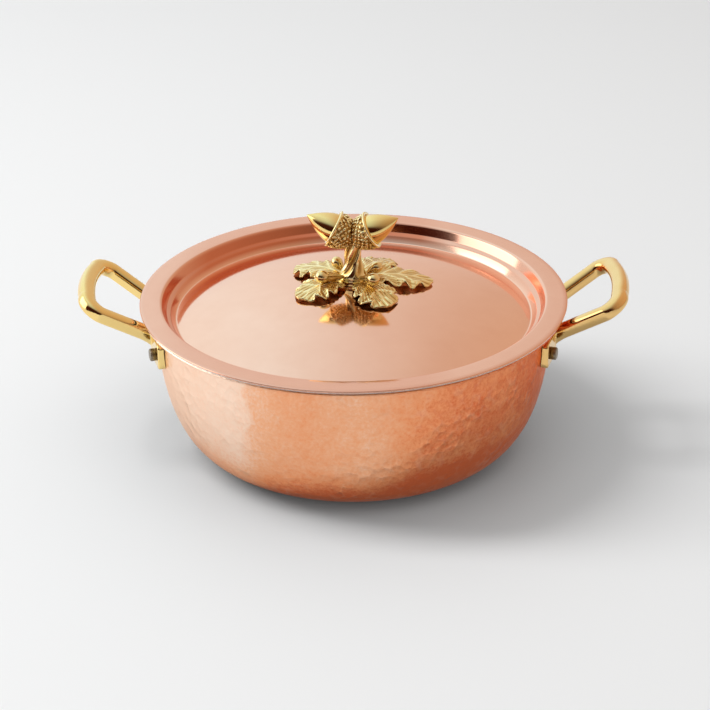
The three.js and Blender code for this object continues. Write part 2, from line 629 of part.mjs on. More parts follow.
// A bud: a ball on a short stalk that grows out of the stem's foot and lies over a leaf's root.
// Each has its azimuth in degrees and its share of the farthest bud's reach.
const budPlaces = [
  ["right_back", 10, 0.64],
  ["left_back", 146, 0.58],
  ["left_front", 221, 1],
  ["right_front", 312, 0.94],
];
const BUD_STEPS = 5;
function bud(reach) {
  const start = new THREE.Vector3(STEM_FOOT_RADIUS + SEAT, 0, HUB_HEIGHT + BUD_STALK_RADIUS);
  const ball = new THREE.Vector3(reach, 0, BUD_HEIGHT);
  const length = start.distanceTo(ball);
  const joint = Math.asin(BUD_STALK_RADIUS / BUD_RADIUS);
  const round = Array.from({ length: BUD_STEPS + 1 }, (_, step) => {
    const turn = joint + ((Math.PI - joint) * step) / BUD_STEPS;
    return new THREE.Vector2(BUD_RADIUS * Math.sin(turn), length - BUD_RADIUS * Math.cos(turn));
  });
  round.at(-1).x = 0;
  const profile = [new THREE.Vector2(0, 0), new THREE.Vector2(BUD_STALK_RADIUS, 0), ...round];
  const rise = Math.atan2(ball.z - start.z, ball.x - start.x);
  return spin(profile, AROUND_SMALL)
    .rotateY(Math.PI / 2 - rise)
    .translate(start.x, 0, start.z);
}
const buds = () =>
  budPlaces.map(([name, azimuth, reachShare]) =>
    piece("bud_" + name, bud(BUD_REACH * reachShare).rotateZ(deg(azimuth)), CAST_BRASS),
  );

// Fixing under the lid: stud, washer and hexagon nut
function pierced(corners, radius, bottom, height) {
  const outline = new THREE.Shape(
    Array.from({ length: corners }, (_, i) =>
      new THREE.Vector2(radius, 0).rotateAround(new THREE.Vector2(), (2 * Math.PI * i) / corners),
    ),
  );
  outline.holes.push(new THREE.Path().absarc(0, 0, STUD_HOLE, 0, 2 * Math.PI, true));
  const depth = { depth: height, bevelEnabled: false, curveSegments: AROUND_SMALL / 2 };
  return new THREE.ExtrudeGeometry(outline, depth).translate(0, 0, bottom);
}
function fixing() {
  const lidUnderside = -LID_WALL - SEAT - TIN;
  const washerBottom = lidUnderside - SEAT - WASHER_THICKNESS - domeDrop(WASHER_RADIUS);
  const nutBottom = washerBottom - SEAT - FIXING_NUT_HEIGHT;
  const studTop = STUD_BORE_DEPTH - SEAT;
  const stud = roundBar(STUD_RADIUS, studTop - STUD_LENGTH, studTop).rotateY(-Math.PI / 2);
  const washer = pierced(AROUND_SMALL, WASHER_RADIUS, washerBottom, WASHER_THICKNESS);
  const nut = pierced(FIXING_NUT_SIDES, FIXING_NUT_RADIUS, nutBottom, FIXING_NUT_HEIGHT);
  return [
    piece("knob_stud", stud, FIXING_STEEL),
    piece("knob_washer", washer, FIXING_STEEL),
    piece("knob_nut", nut, FIXING_STEEL),
  ];
}

// The whole braiser
const pan = new THREE.Group();
pan.add(...panPieces(), ...handles(), ...rivets());

const knob = new THREE.Group();
knob.add(piece("knob_stem", stem(), CAST_BRASS));
knob.add(...acorn("right", 1), ...acorn("left", -1), ...leaves(), ...buds());
knob.rotation.z = deg(KNOB_TURN_DEG);

const lidTop = new THREE.Group();
lidTop.position.z = DOME_TOP;
lidTop.add(knob, ...fixing());

const lid = new THREE.Group();
lid.position.z = LID_REST_HEIGHT;
lid.add(...lidPieces(), lidTop);

const braiser = new THREE.Group();
braiser.add(pan, lid);
export default braiser;
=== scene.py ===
import math
from functools import partialmethod

import bmesh
import bpy
import numpy as np
from mathutils import Matrix, Vector


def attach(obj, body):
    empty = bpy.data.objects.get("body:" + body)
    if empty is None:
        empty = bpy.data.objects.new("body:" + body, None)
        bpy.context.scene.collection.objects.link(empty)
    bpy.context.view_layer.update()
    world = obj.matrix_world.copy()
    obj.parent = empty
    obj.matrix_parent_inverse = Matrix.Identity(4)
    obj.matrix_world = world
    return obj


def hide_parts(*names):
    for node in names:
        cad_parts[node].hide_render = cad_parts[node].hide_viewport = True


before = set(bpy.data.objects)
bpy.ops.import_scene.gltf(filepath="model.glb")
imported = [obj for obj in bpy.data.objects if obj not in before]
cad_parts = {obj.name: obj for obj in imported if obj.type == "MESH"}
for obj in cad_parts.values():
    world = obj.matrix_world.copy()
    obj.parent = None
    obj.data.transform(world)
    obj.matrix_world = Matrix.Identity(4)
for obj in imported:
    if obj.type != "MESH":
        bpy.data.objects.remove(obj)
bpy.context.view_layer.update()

# Camera: a long lens that looks down at the lid by about 24 degrees from the front, with the
# right handle turned slightly towards it.
scene = bpy.context.scene
mm = 0.001
BRIM_HEIGHT = 102.9
LENS_PIXELS = 2135.3
IMAGE_PIXELS = 710
VIEW_DISTANCE = 1.4
VIEW_ELEVATION = math.radians(24.48)
VIEW_SIDE = math.radians(1.1)
VIEW_ROLL = math.radians(-0.68)
LID_MIDDLE_PIXELS = (-0.85, -60.7)
SENSOR_WIDTH = 36


def in_scene(name, data):
    """A new object of the scene."""
    made = bpy.data.objects.new(name, data)
    scene.collection.objects.link(made)
    return made


camera = in_scene("camera", bpy.data.cameras.new("camera"))
camera.data.sensor_width = SENSOR_WIDTH
camera.data.lens = LENS_PIXELS / IMAGE_PIXELS * SENSOR_WIDTH
lid_middle = Vector((0, 0, BRIM_HEIGHT * mm))
towards_eye = Vector((
    math.cos(VIEW_ELEVATION) * math.sin(VIEW_SIDE),
    -math.cos(VIEW_ELEVATION) * math.cos(VIEW_SIDE),
    math.sin(VIEW_ELEVATION),
))
ahead = -towards_eye
right = ahead.cross(Vector((0, 0, 1))).normalized()
up = right.cross(ahead)
pan_turn = Matrix.Rotation(math.atan(LID_MIDDLE_PIXELS[0] / LENS_PIXELS), 3, up)
ahead, right = pan_turn @ ahead, pan_turn @ right
tilt = Matrix.Rotation(math.atan(LID_MIDDLE_PIXELS[1] / LENS_PIXELS), 3, right)
ahead = tilt @ ahead
roll = Matrix.Rotation(-VIEW_ROLL, 3, ahead)
right = roll @ right
up = right.cross(ahead)
eye = Matrix((right, up, -ahead)).transposed().to_4x4()
camera.matrix_world = Matrix.Translation(lid_middle + VIEW_DISTANCE * towards_eye) @ eye
scene.camera = camera

# Studio: what the metal mirrors is a pale room, cooler on the left and warmer on the right, dark
# where the photographer stands, with a large window on the left. Plain surfaces are lit by an
# even grey, by a tall skylight high on the left and by a faint lamp above.
scene.view_settings.view_transform = "Standard"


class Flow:
    """One output of a node, so that sums of outputs read as plain arithmetic."""

    def __init__(self, nodes, socket):
        self.nodes = nodes
        self.socket = socket

    def then(self, operation, *others):
        """The output put through a sum with other numbers or outputs."""
        sockets = dict(enumerate((self, *others)))
        return self.nodes.add("ShaderNodeMath", sockets, operation=operation)

    def after(self, operation, other):
        """The same with the output in second place."""
        return self.nodes.add("ShaderNodeMath", {0: other, 1: self}, operation=operation)

    __add__ = __radd__ = partialmethod(then, "ADD")
    __sub__ = partialmethod(then, "SUBTRACT")
    __rsub__ = partialmethod(after, "SUBTRACT")
    __mul__ = __rmul__ = partialmethod(then, "MULTIPLY")
    __truediv__ = partialmethod(then, "DIVIDE")
    __rtruediv__ = partialmethod(after, "DIVIDE")
    __mod__ = partialmethod(then, "MODULO")
    __pow__ = partialmethod(then, "POWER")
    cosine = partialmethod(then, "COSINE")
    sine = partialmethod(then, "SINE")

    def output(self, name):
        return Flow(self.nodes, self.socket.node.outputs[name])

    def parts(self):
        """The X, Y and Z of a vector."""
        split = self.nodes.add("ShaderNodeSeparateXYZ", {0: self})
        return split, split.output("Y"), split.output("Z")


class Nodes:
    """Adds nodes to one tree: settings and ramp stops first, then sockets. Gives one output."""

    def __init__(self, tree):
        self.tree = tree

    def add(self, kind, sockets=None, output=0, stops=(), **settings):
        node = self.tree.nodes.new(kind)
        for name, value in settings.items():
            setattr(node, name, value)
        if stops:
            elements = node.color_ramp.elements
            while len(elements) < len(stops):
                elements.new(0.5)
            for stop, (place, colour) in zip(elements, stops):
                stop.position = place
                stop.color = colour
        for name, value in (sockets or {}).items():
            if isinstance(value, Flow):
                self.tree.links.new(value.socket, node.inputs[name])
            else:
                node.inputs[name].default_value = value
        return Flow(self, node.outputs[output]) if node.outputs else node

    def vector(self, *parts):
        return self.add("ShaderNodeCombineXYZ", dict(enumerate(parts)))


def grey(value):
    return (value, value, value, 1)


def mix_colours(nodes, factor, first, second, blend="MIX"):
    sockets = {0: factor, 6: first, 7: second}
    return nodes.add("ShaderNodeMix", sockets, 2, data_type="RGBA", blend_type=blend)


def ramp(nodes, value, *stops):
    """A value turned into a colour by pairs of a place on the ramp and its colour."""
    return nodes.add("ShaderNodeValToRGB", {0: value}, stops=stops)


world = bpy.data.worlds.new("room")
scene.world = world
world.use_nodes = True
room = Nodes(world.node_tree)
rightward, backward, upward = room.add("ShaderNodeTexCoord").parts()
openness = backward * 0.5 + rightward * 0.23 + upward * 0.22 + 0.5
room_light = ramp(
    room, openness, (0.0, (0.03, 0.006, 0.003, 1)), (0.16, (0.05, 0.011, 0.005, 1)),
    (0.3, grey(0.45)), (0.42, grey(0.58)), (0.72, grey(0.78)), (1.0, grey(0.86)),
)
tint = ramp(
    room, rightward * 0.5 + 0.5,
    (0.0, (1.34, 1.42, 1.42, 1)), (0.36, (1.14, 1.36, 1.48, 1)), (0.5, grey(0.97)),
    (0.63, (0.84, 0.70, 0.60, 1)), (0.75, (0.84, 0.62, 0.45, 1)), (1.0, (0.82, 0.58, 0.42, 1)),
)
mirrored = mix_colours(room, 1.0, room_light, tint, "MULTIPLY")
on_plain_surfaces = room.add("ShaderNodeLightPath").output("Is Diffuse Ray")
brightness = mix_colours(room, on_plain_surfaces, mirrored, grey(0.46))
room.tree.links.new(brightness.socket, room.tree.nodes["Background"].inputs["Color"])
PAN_MIDDLE = Vector((0, 0, 0.05))


def softbox(name, place, width, tall, watts, lights_floor=True, in_metal=True):
    """A soft lamp that faces the pan, with its place and size in metres."""
    lamp = bpy.data.lights.new(name, "AREA")
    lamp.shape = "RECTANGLE"
    lamp.size = width
    lamp.size_y = tall
    lamp.energy = watts
    holder = in_scene(name, lamp)
    holder.location = place
    holder.visible_diffuse = lights_floor
    holder.visible_glossy = in_metal
    holder.rotation_euler = (PAN_MIDDLE - Vector(place)).to_track_quat("-Z", "Y").to_euler()


softbox("window_left", (-2.0, 0.16, 0.8), 1.8, 1.56, 15.5, lights_floor=False)
softbox("skylight_left", (-1.85, 0.12, 2.15), 0.7, 2.4, 54, in_metal=False)
softbox("ceiling", (0.25, -0.5, 1.8), 1.3, 1.3, 4, in_metal=False)
scene.cycles.caustics_reflective = False

# Floor: a plain tabletop of pale honed stone that runs well past the view. It is lifted a little
# towards white where it is seen. In mirrors it carries a painted glow by its place across the
# view, most on the left, that brightens what the metal reflects there.
FLOOR_HALF = 6.0
SEEN_LIFT = 0.03
MIRRORED_SPAN = 0.5
floor_mesh = bpy.data.meshes.new("floor")
floor_mesh.from_pydata(
    [(-FLOOR_HALF, -FLOOR_HALF, 0), (FLOOR_HALF, -FLOOR_HALF, 0),
     (FLOOR_HALF, FLOOR_HALF, 0), (-FLOOR_HALF, FLOOR_HALF, 0)],
    [], [(0, 1, 2, 3)],
)
floor = in_scene("floor", floor_mesh)


def surface(name):
    """A new material, its node maker and its place on the object."""
    material = bpy.data.materials.new(name)
    material.use_nodes = True
    nodes = Nodes(material.node_tree)
    return material, nodes, nodes.add("ShaderNodeTexCoord").output("Object")


stone, nodes, where = surface("pale_stone")
shader = nodes.tree.nodes["Principled BSDF"]
shader.inputs["Base Color"].default_value = grey(0.86)
shader.inputs["Roughness"].default_value = 0.6
seen = nodes.add("ShaderNodeLightPath")
glow = nodes.add("ShaderNodeEmission", {"Color": grey(1)})
across, _, _ = where.parts()
# Painted glow in mirrors: strongest on the far left, faint from there to the right.
painted_glow_in_mirrors = ramp(
    nodes, across / MIRRORED_SPAN + 0.5,
    (0.0, grey(0.9)), (0.045, grey(0.86)), (0.08, grey(0.5)), (0.15, grey(0.2)),
    (0.3, grey(0.04)), (0.5, grey(0.16)), (0.74, grey(0.12)), (1.0, grey(0.05)),
)
lift = seen * SEEN_LIFT + seen.output("Is Glossy Ray") * painted_glow_in_mirrors
plain_look = Flow(nodes, shader.outputs[0])
lifted = nodes.add("ShaderNodeMixShader", {0: lift, 1: plain_look, 2: glow})
nodes.tree.links.new(lifted.socket, nodes.tree.nodes["Material Output"].inputs["Surface"])
floor_mesh.materials.append(stone)

# Pan body: copper sheet spun to shape, then planished all over with a ball-faced hammer, with
# a short flat rim turned outwards. Its flat base is left smooth by the stake. Its colour is
# mottled, with painted light over it: a painted reflection of the window as a pale band on the
# left, and painted shade that deepens it towards the right and towards the foot.
PAN_HEIGHT = 100
RIM_RADIUS = 138.4
WALL_RADIUS = 130
BASE_RADIUS = 76
PAN_WALL = 2
RIM_FILLET = 3
TIN = 0.4
SEAT = 0.3
WALL_SWELL_POWER = 2.35
BELLY_ROUND_POWER = 0.34
COPPER_AROUND = 512
WALL_ROWS = 90
INNER_ROWS_STEP = 3
RIM_ROWS = 8
STRUCK_FROM = 3
STRUCK_TO = 92
STRUCK_FADE_LOW = 6
STRUCK_FADE_HIGH = 5
HAMMER_FACE = 6.0
HAMMER_DEPTH = 0.16
HAMMER_SOFTNESS = 0.35
DENT_LEVEL = 0.45
SWAY_LENGTH = 34
SWAY_DEPTH = 0.22
SWAY_LEVEL = 0.75
SPIN_SLACK = 0.02
FOOT_SHADE_HEIGHT = 40
UNDER_BELLY_HEIGHT = 65
STRIKES_A_METRE = 215
OVERLAPS_A_METRE = 150


def wall_radius_at(level):
    share = max(0.0, 1 - level / PAN_HEIGHT)
    swell = (1 - share**WALL_SWELL_POWER) ** BELLY_ROUND_POWER
    return BASE_RADIUS + (WALL_RADIUS - BASE_RADIUS) * swell


def swung(arm, angle):
    """A flat arm turned by an angle."""
    c, s = math.cos(angle), math.sin(angle)
    return np.array((c * arm[0] - s * arm[1], s * arm[0] + c * arm[1]))


def rounded_path(corners, steps=8):
    """Corners of (radius, height) or (radius, height, fillet), each fillet drawn as an arc."""
    path = []
    for i, corner in enumerate(corners):
        here = np.array(corner[:2], float)
        if len(corner) < 3:
            path.append(here)
            continue
        back = np.array(corners[i - 1][:2]) - here
        on = np.array(corners[i + 1][:2]) - here
        back /= np.linalg.norm(back)
        on /= np.linalg.norm(on)
        half = math.acos(float(back @ on)) / 2
        fillet = corner[2]
        bisector = (back + on) / np.linalg.norm(back + on)
        middle = here + bisector * fillet / math.sin(half)
        start = here + back * fillet / math.tan(half) - middle
        end = here + on * fillet / math.tan(half) - middle
        turn = math.atan2(start[0] * end[1] - start[1] * end[0], float(start @ end))
        path += [middle + swung(start, turn * step / steps) for step in range(steps + 1)]
    return np.array(path)


def offset_path(path, distance):
    """The path moved to its left by a distance."""
    along = np.diff(path, axis=0)
    normals = np.stack([-along[:, 1], along[:, 0]], 1)
    normals /= np.linalg.norm(normals, axis=1)[:, None]
    before = np.vstack([normals[:1], normals])
    after = np.vstack([normals, normals[-1:]])
    middle = before + after
    middle /= np.linalg.norm(middle, axis=1)[:, None]
    return path + middle * (distance / np.sum(middle * before, axis=1))[:, None]


def sheet_profile(path, inset, thickness, edge_trim=0, edge_steps=8):
    """The closed outline of one layer of sheet that lies between two offsets of a path."""
    trimmed = path.copy()
    along = trimmed[-1] - trimmed[-2]
    trimmed[-1] -= along / np.linalg.norm(along) * (edge_trim + thickness / 2)
    lower = offset_path(trimmed, inset)
    upper = offset_path(trimmed, inset + thickness)
    middle = (lower[-1] + upper[-1]) / 2
    arm = lower[-1] - middle
    edge = [middle + swung(arm, math.pi * step / edge_steps) for step in range(1, edge_steps)]
    return np.vstack([lower, edge, upper[::-1]])


def plain_object(name, points, faces, material):
    """A mesh object at the origin from points in millimetres."""
    mesh = bpy.data.meshes.new(name)
    mesh.from_pydata([tuple(float(c) * mm for c in p) for p in points], [], faces)
    mesh.materials.append(material)
    return in_scene(name, mesh)


def group_tree(name, inputs):
    """An empty geometry tree with named inputs of given kinds."""
    tree = bpy.data.node_groups.new(name, "GeometryNodeTree")
    for label, kind in {"Geometry": "Geometry", **inputs}.items():
        tree.interface.new_socket(label, in_out="INPUT", socket_type="NodeSocket" + kind)
    tree.interface.new_socket("Geometry", in_out="OUTPUT", socket_type="NodeSocketGeometry")
    nodes = Nodes(tree)
    return tree, nodes, nodes.add("NodeGroupInput")


def close_tree(nodes, geometry, material_input):
    """Ends a tree in Realize Instances and Set Material."""
    solid = nodes.add("GeometryNodeRealizeInstances", {0: geometry})
    dressed = nodes.add("GeometryNodeSetMaterial", {0: solid, "Material": material_input})
    nodes.tree.links.new(dressed.socket, nodes.tree.nodes.new("NodeGroupOutput").inputs[0])


def formed_mesh(made):
    """The mesh that an object's modifiers make of it."""
    bpy.context.view_layer.update()
    evaluated = made.evaluated_get(bpy.context.evaluated_depsgraph_get())
    return bpy.data.meshes.new_from_object(evaluated)


def grown(name, seed_object, tree, values):
    """What a geometry tree makes of an object, as a plain mesh object at the origin."""
    modifier = seed_object.modifiers.new("form", "NODES")
    modifier.node_group = tree
    for item in tree.interface.items_tree:
        if item.in_out == "INPUT" and item.name in values:
            modifier[item.identifier] = values[item.name]
    mesh = formed_mesh(seed_object)
    mesh.name = name
    bpy.data.objects.remove(seed_object)
    return in_scene(name, mesh)


def outward(made, join=0.002):
    """Merges doubled points and turns every face outwards."""
    work = bmesh.new()
    work.from_mesh(made.data)
    bmesh.ops.remove_doubles(work, verts=work.verts, dist=join * mm)
    bmesh.ops.dissolve_degenerate(work, edges=work.edges, dist=join * mm / 10)
    bmesh.ops.recalc_face_normals(work, faces=work.faces)
    if work.calc_volume(signed=True) < 0:
        bmesh.ops.reverse_faces(work, faces=work.faces)
    work.to_mesh(made.data)
    work.free()
    made.data.polygons.foreach_set("use_smooth", [True] * len(made.data.polygons))
    made.data.update()
    return made


def noise(nodes, place, scale, detail=2, roughness=0.5):
    return nodes.add("ShaderNodeTexNoise", {
        "Vector": place, "Scale": scale, "Detail": detail, "Roughness": roughness,
    })


spin_tree, nodes, inputs = group_tree("spun_on_the_lathe", {
    "Around": "Int", "Rows": "Int", "Material": "Material", "Hammer face": "Float",
    "Hammer depth": "Float", "Sway length": "Float", "Sway depth": "Float",
})
around = inputs.output("Around")
rows = inputs.output("Rows")
grid = nodes.add("GeometryNodeMeshGrid", {"Vertices X": around + 1, "Vertices Y": rows})
number = nodes.add("GeometryNodeInputIndex")
row = number % rows
column = (number - row) / rows
turn = column * (2 * math.pi) / around
outline_point = nodes.add(
    "GeometryNodeSampleIndex",
    {0: inputs.output("Geometry"), "Value": nodes.add("GeometryNodeInputPosition"), "Index": row},
    data_type="FLOAT_VECTOR",
)
radius, strike, level = outline_point.parts()
round_place = nodes.vector(radius * turn.cosine(), radius * turn.sine(), level)
cells = nodes.add("ShaderNodeTexVoronoi", {
    "Vector": round_place, "Scale": 1 / inputs.output("Hammer face"),
    "Smoothness": HAMMER_SOFTNESS,
}, feature="SMOOTH_F1")
sway = noise(nodes, round_place, 1 / inputs.output("Sway length"), 1)
dent = cells.output("Distance") ** 2.0 - DENT_LEVEL
swayed = inputs.output("Sway depth") * (sway - SWAY_LEVEL)
bulge = inputs.output("Hammer depth") * dent + swayed
pressed = radius + strike * bulge
formed_place = nodes.vector(pressed * turn.cosine(), pressed * turn.sine(), level)
formed = nodes.add("GeometryNodeSetPosition", {0: grid, "Position": formed_place})
close_tree(nodes, formed, inputs.output("Material"))


def spun(name, profile, material, around=COPPER_AROUND, struck=None, closed=False):
    """A profile of (radius, height) in millimetres spun round the upright axis. The second
    coordinate of the outline carries how hard each point is struck by the hammer."""
    outline = [tuple(p) for p in profile]
    if closed:
        outline.append(outline[0])
    hits = struck or [0] * len(outline)
    mesh = bpy.data.meshes.new(name)
    mesh.from_pydata([(r * mm, hit, z * mm) for (r, z), hit in zip(outline, hits)], [], [])
    values = {
        "Around": around, "Rows": len(outline), "Material": material,
        "Hammer face": HAMMER_FACE * mm, "Hammer depth": HAMMER_DEPTH * mm,
        "Sway length": SWAY_LENGTH * mm, "Sway depth": SWAY_DEPTH * mm,
    }
    return outward(grown(name, in_scene(name, mesh), spin_tree, values), SPIN_SLACK)


rim_underside = PAN_HEIGHT - PAN_WALL
wall = []
for step in range(WALL_ROWS):
    share = math.cos(math.pi / 2 * (step + 1) / (WALL_ROWS + 1)) ** (2 / WALL_SWELL_POWER)
    level_mm = PAN_HEIGHT * (1 - share)
    if level_mm < rim_underside - 2 * RIM_FILLET:
        wall.append((wall_radius_at(level_mm), level_mm))
base_rows = [(BASE_RADIUS * share, 0) for share in (0, 0.12, 0.3, 0.5, 0.7, 0.85, 0.95)]
pan_path = rounded_path(
    [*base_rows, (BASE_RADIUS, 0), *wall, (WALL_RADIUS, rim_underside, RIM_FILLET),
     (RIM_RADIUS, rim_underside)],
)
pan_outline = sheet_profile(pan_path, 0, PAN_WALL)
half_way = len(pan_outline) // 2
past_rim = half_way + RIM_ROWS
inner_rows = pan_outline[past_rim:-1:INNER_ROWS_STEP]
pan_outline = np.vstack([pan_outline[:past_rim], inner_rows, pan_outline[-1:]])
hammered = [
    max(0, min(1, (z - STRUCK_FROM) / STRUCK_FADE_LOW, (STRUCK_TO - z) / STRUCK_FADE_HIGH))
    for z in pan_outline[:half_way, 1]
] + [0] * (len(pan_outline) - half_way)

hammered_copper, nodes, where = surface("hammered_copper")
to_right, _, above_foot = where.parts()
lowness = (FOOT_SHADE_HEIGHT * mm - above_foot).then("MAXIMUM", 0.0)
under_belly = (UNDER_BELLY_HEIGHT * mm - above_foot).then("MAXIMUM", 0.0)


def metal(nodes, colour, roughness, height=None, edge_tint=grey(1)):
    """Dresses a surface as metal, with the height of its fine marks in metres."""
    shader = nodes.tree.nodes["Principled BSDF"]
    shader.inputs["Metallic"].default_value = 1
    shader.inputs["Specular Tint"].default_value = edge_tint
    looks = {"Base Color": colour, "Roughness": roughness}
    if height:
        looks["Normal"] = nodes.add("ShaderNodeBump", {"Distance": 1, "Height": height})
    for name, value in looks.items():
        nodes.tree.links.new(value.socket, shader.inputs[name])


patches = noise(nodes, where, 26, 2)
drawn_out = nodes.add("ShaderNodeVectorMath", {0: where, 1: (1, 1, 0.22)}, operation="MULTIPLY")
bands = noise(nodes, drawn_out, 17, 1)
tone = ramp(nodes, patches * 0.3 + bands * 0.7, (0.36, grey(0)), (0.64, grey(1)))
grain = noise(nodes, where, 480, 3, 0.7)
dents = noise(nodes, where, 110, 2)
# Painted reflection of the window: a pale band down the left of the wall with a ragged edge, fading
# out under the belly.
ragged = (to_right * 12 + 1.32) + (patches - 0.5) * 0.8 + (dents - 0.5) * 0.35
painted_window_edge = ramp(nodes, ragged, (0.46, grey(1)), (0.54, grey(0)))
painted_window_reflection = painted_window_edge * (0.27 - under_belly * 4)
# Painted shade: darker towards the foot, and more so towards the right.
shade = (lowness * 18 + lowness * lowness * 300) * (to_right * 4.5 + 1)
marks = tone * 0.34 + grain * 0.65 + dents * 0.3
# Paler with the mottled marks and the painted window reflection; deeper with the painted shade and
# towards the right, which is painted shade as well.
marks_and_painted_light = (marks + painted_window_reflection - shade - to_right * 4.6 - 0.14) * 0.8
colour = ramp(
    nodes, marks_and_painted_light, (0.0, (0.76, 0.165, 0.06, 1)), (0.24, (0.92, 0.345, 0.15, 1)),
    (0.5, (0.95, 0.48, 0.27, 1)), (0.8, (1.0, 0.70, 0.53, 1)), (1.0, (1.0, 0.75, 0.59, 1)),
)
strikes, overlap = [
    nodes.add("ShaderNodeTexVoronoi", {"Vector": where, "Scale": scale}).output("Distance")
    for scale in (STRIKES_A_METRE, OVERLAPS_A_METRE)
]
skip = ramp(nodes, noise(nodes, where, 60, 1), (0.35, grey(0.25)), (0.65, grey(1)))
height = (strikes * strikes * 0.00036 + overlap * overlap * 0.00054) * skip + grain * 0.00003
ridge = ramp(nodes, strikes, (0.55, grey(0)), (0.8, grey(1)))
colour = mix_colours(nodes, ridge * skip * 0.16, colour, (0.99, 0.66, 0.48, 1))
metal(nodes, colour, patches * 0.16 + 0.26, height, (1.0, 0.8, 0.68, 1))

pan_body = spun("pan_body", pan_outline, hammered_copper, struck=hammered)
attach(pan_body, "pan")
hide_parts("pan_shell")

# Pan lining: tin wiped on hot inside the pan and over its rim, bright but a little cloudy, with
# the strokes of the wiping in it.
bright_tin, nodes, where = surface("wiped_tin")
cloudy = noise(nodes, where, 35, 4)
wiped = noise(nodes, where, 260, 2)
colour = mix_colours(nodes, cloudy, (0.84, 0.84, 0.82, 1), (0.93, 0.93, 0.91, 1))
metal(nodes, colour, cloudy * 0.18 + 0.2, cloudy * 0.00004 + wiped * 0.000006)
tin_outline = sheet_profile(
    pan_path[::2], PAN_WALL + SEAT, TIN, edge_trim=TIN / 4, edge_steps=6,
)
pan_tin = spun("pan_tin", tin_outline, bright_tin, around=256)
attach(pan_tin, "pan")
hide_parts("pan_lining")

# Handles: polished brass castings, one loop of a soft square bar that flares into two flat
# lugs, turned outwards against the wall for the rivets. The left one is the right one turned
# round, in a slightly paler brass that is painted light for the lit left side.
HANDLE_REACH = 178.4
HANDLE_ROOT_RADIUS = 124
HANDLE_ROOT_HEIGHT = 81
HANDLE_RISE = 34.4
ARM_SPREAD_ROOT = 21.6
ARM_SPREAD_END = 34.8
ARM_WIDTH = 9.8
END_BAR_WIDTH = 11
END_BAR_BOW = 2.6
LOOP_INNER_CORNER = 7
ROOT_FLARE = 3.6
ROOT_FLARE_LENGTH = 15
BAR_SECTION_POWER = 0.72
BAR_AROUND = 28
ARM_STEPS = 24
BEND_STEPS = 12
FOOT_FACE_RADIUS = 133.4
FOOT_DROP = 10
FOOT_HEIGHT = 17.6
FOOT_OUTWARD = 10.5
FOOT_INWARD = 15.5
FOOT_CORNER = 3.4
FOOT_EDGE = 1.0
CORNER_STEPS = 6
EDGE_STEPS = 4
RIVET_SIDE = 38.5
RIVET_HEIGHT = 78.4
CASTING_GRAIN = 0.5
CASTING_ROUNDS = 10
RIVET_AZIMUTH = math.asin(RIVET_SIDE / FOOT_FACE_RADIUS)


def loop_outline(reach, root_spread, end_spread, corner_radius, bow):
    """One side of the handle's loop in its sloping plane: along the reach and across it."""
    half = []
    arm_end = reach - corner_radius
    flat = end_spread - corner_radius
    widening = end_spread - root_spread
    for step in range(ARM_STEPS):
        half.append((arm_end * step / ARM_STEPS, root_spread + widening * step / ARM_STEPS))
    for step in range(BEND_STEPS + 1):
        angle = math.pi / 2 * step / BEND_STEPS
        half.append((
            arm_end + corner_radius * math.sin(angle),
            end_spread - corner_radius * (1 - math.cos(angle)),
        ))
    for step in range(1, BEND_STEPS + 1):
        rest = 1 - step / BEND_STEPS
        half.append((reach + bow * (1 - rest**2), flat * rest))
    return half + [(a, -b) for a, b in half[-2::-1]]


def skin(rings):
    """Points and faces of a closed skin over rings of equal length, with flat ends."""
    count = len(rings[0])
    points = [p for ring in rings for p in ring]
    faces = []
    for r in range(len(rings) - 1):
        for k in range(count):
            n = (k + 1) % count
            faces.append((r * count + k, r * count + n, (r + 1) * count + n, (r + 1) * count + k))
    faces.append(tuple(range(count))[::-1])
    faces.append(tuple((len(rings) - 1) * count + k for k in range(count)))
    return points, faces


slope_run = HANDLE_REACH - HANDLE_ROOT_RADIUS
slope = math.atan2(HANDLE_RISE, slope_run)
loop_reach = math.hypot(slope_run, HANDLE_RISE) - END_BAR_BOW
outer = loop_outline(
    loop_reach, ARM_SPREAD_ROOT + ARM_WIDTH / 2, ARM_SPREAD_END + ARM_WIDTH / 2,
    LOOP_INNER_CORNER + ARM_WIDTH, END_BAR_BOW,
)
inner = loop_outline(
    loop_reach - END_BAR_WIDTH, ARM_SPREAD_ROOT - ARM_WIDTH / 2, ARM_SPREAD_END - ARM_WIDTH / 2,
    LOOP_INNER_CORNER, END_BAR_BOW,
)
rings = []
for (outer_along, outer_across), (inner_along, inner_across) in zip(outer, inner):
    along = (outer_along + inner_along) / 2
    flare = max(0, 1 - along / ROOT_FLARE_LENGTH) ** 2
    ring = []
    for k in range(BAR_AROUND):
        angle = 2 * math.pi * (k + 0.5) / BAR_AROUND
        wide = math.copysign(abs(math.cos(angle)) ** BAR_SECTION_POWER, math.cos(angle))
        high = math.copysign(abs(math.sin(angle)) ** BAR_SECTION_POWER, math.sin(angle))
        thick = ARM_WIDTH / 2 if high > 0 else ARM_WIDTH / 2 + ROOT_FLARE * flare
        ring.append((
            along + (outer_along - inner_along) / 2 * wide,
            (outer_across + inner_across) / 2 + (outer_across - inner_across) / 2 * wide,
            high * thick,
        ))
    rings.append([
        (HANDLE_ROOT_RADIUS + a * math.cos(slope) - h * math.sin(slope), b,
         HANDLE_ROOT_HEIGHT + a * math.sin(slope) + h * math.cos(slope))
        for a, b, h in ring
    ])


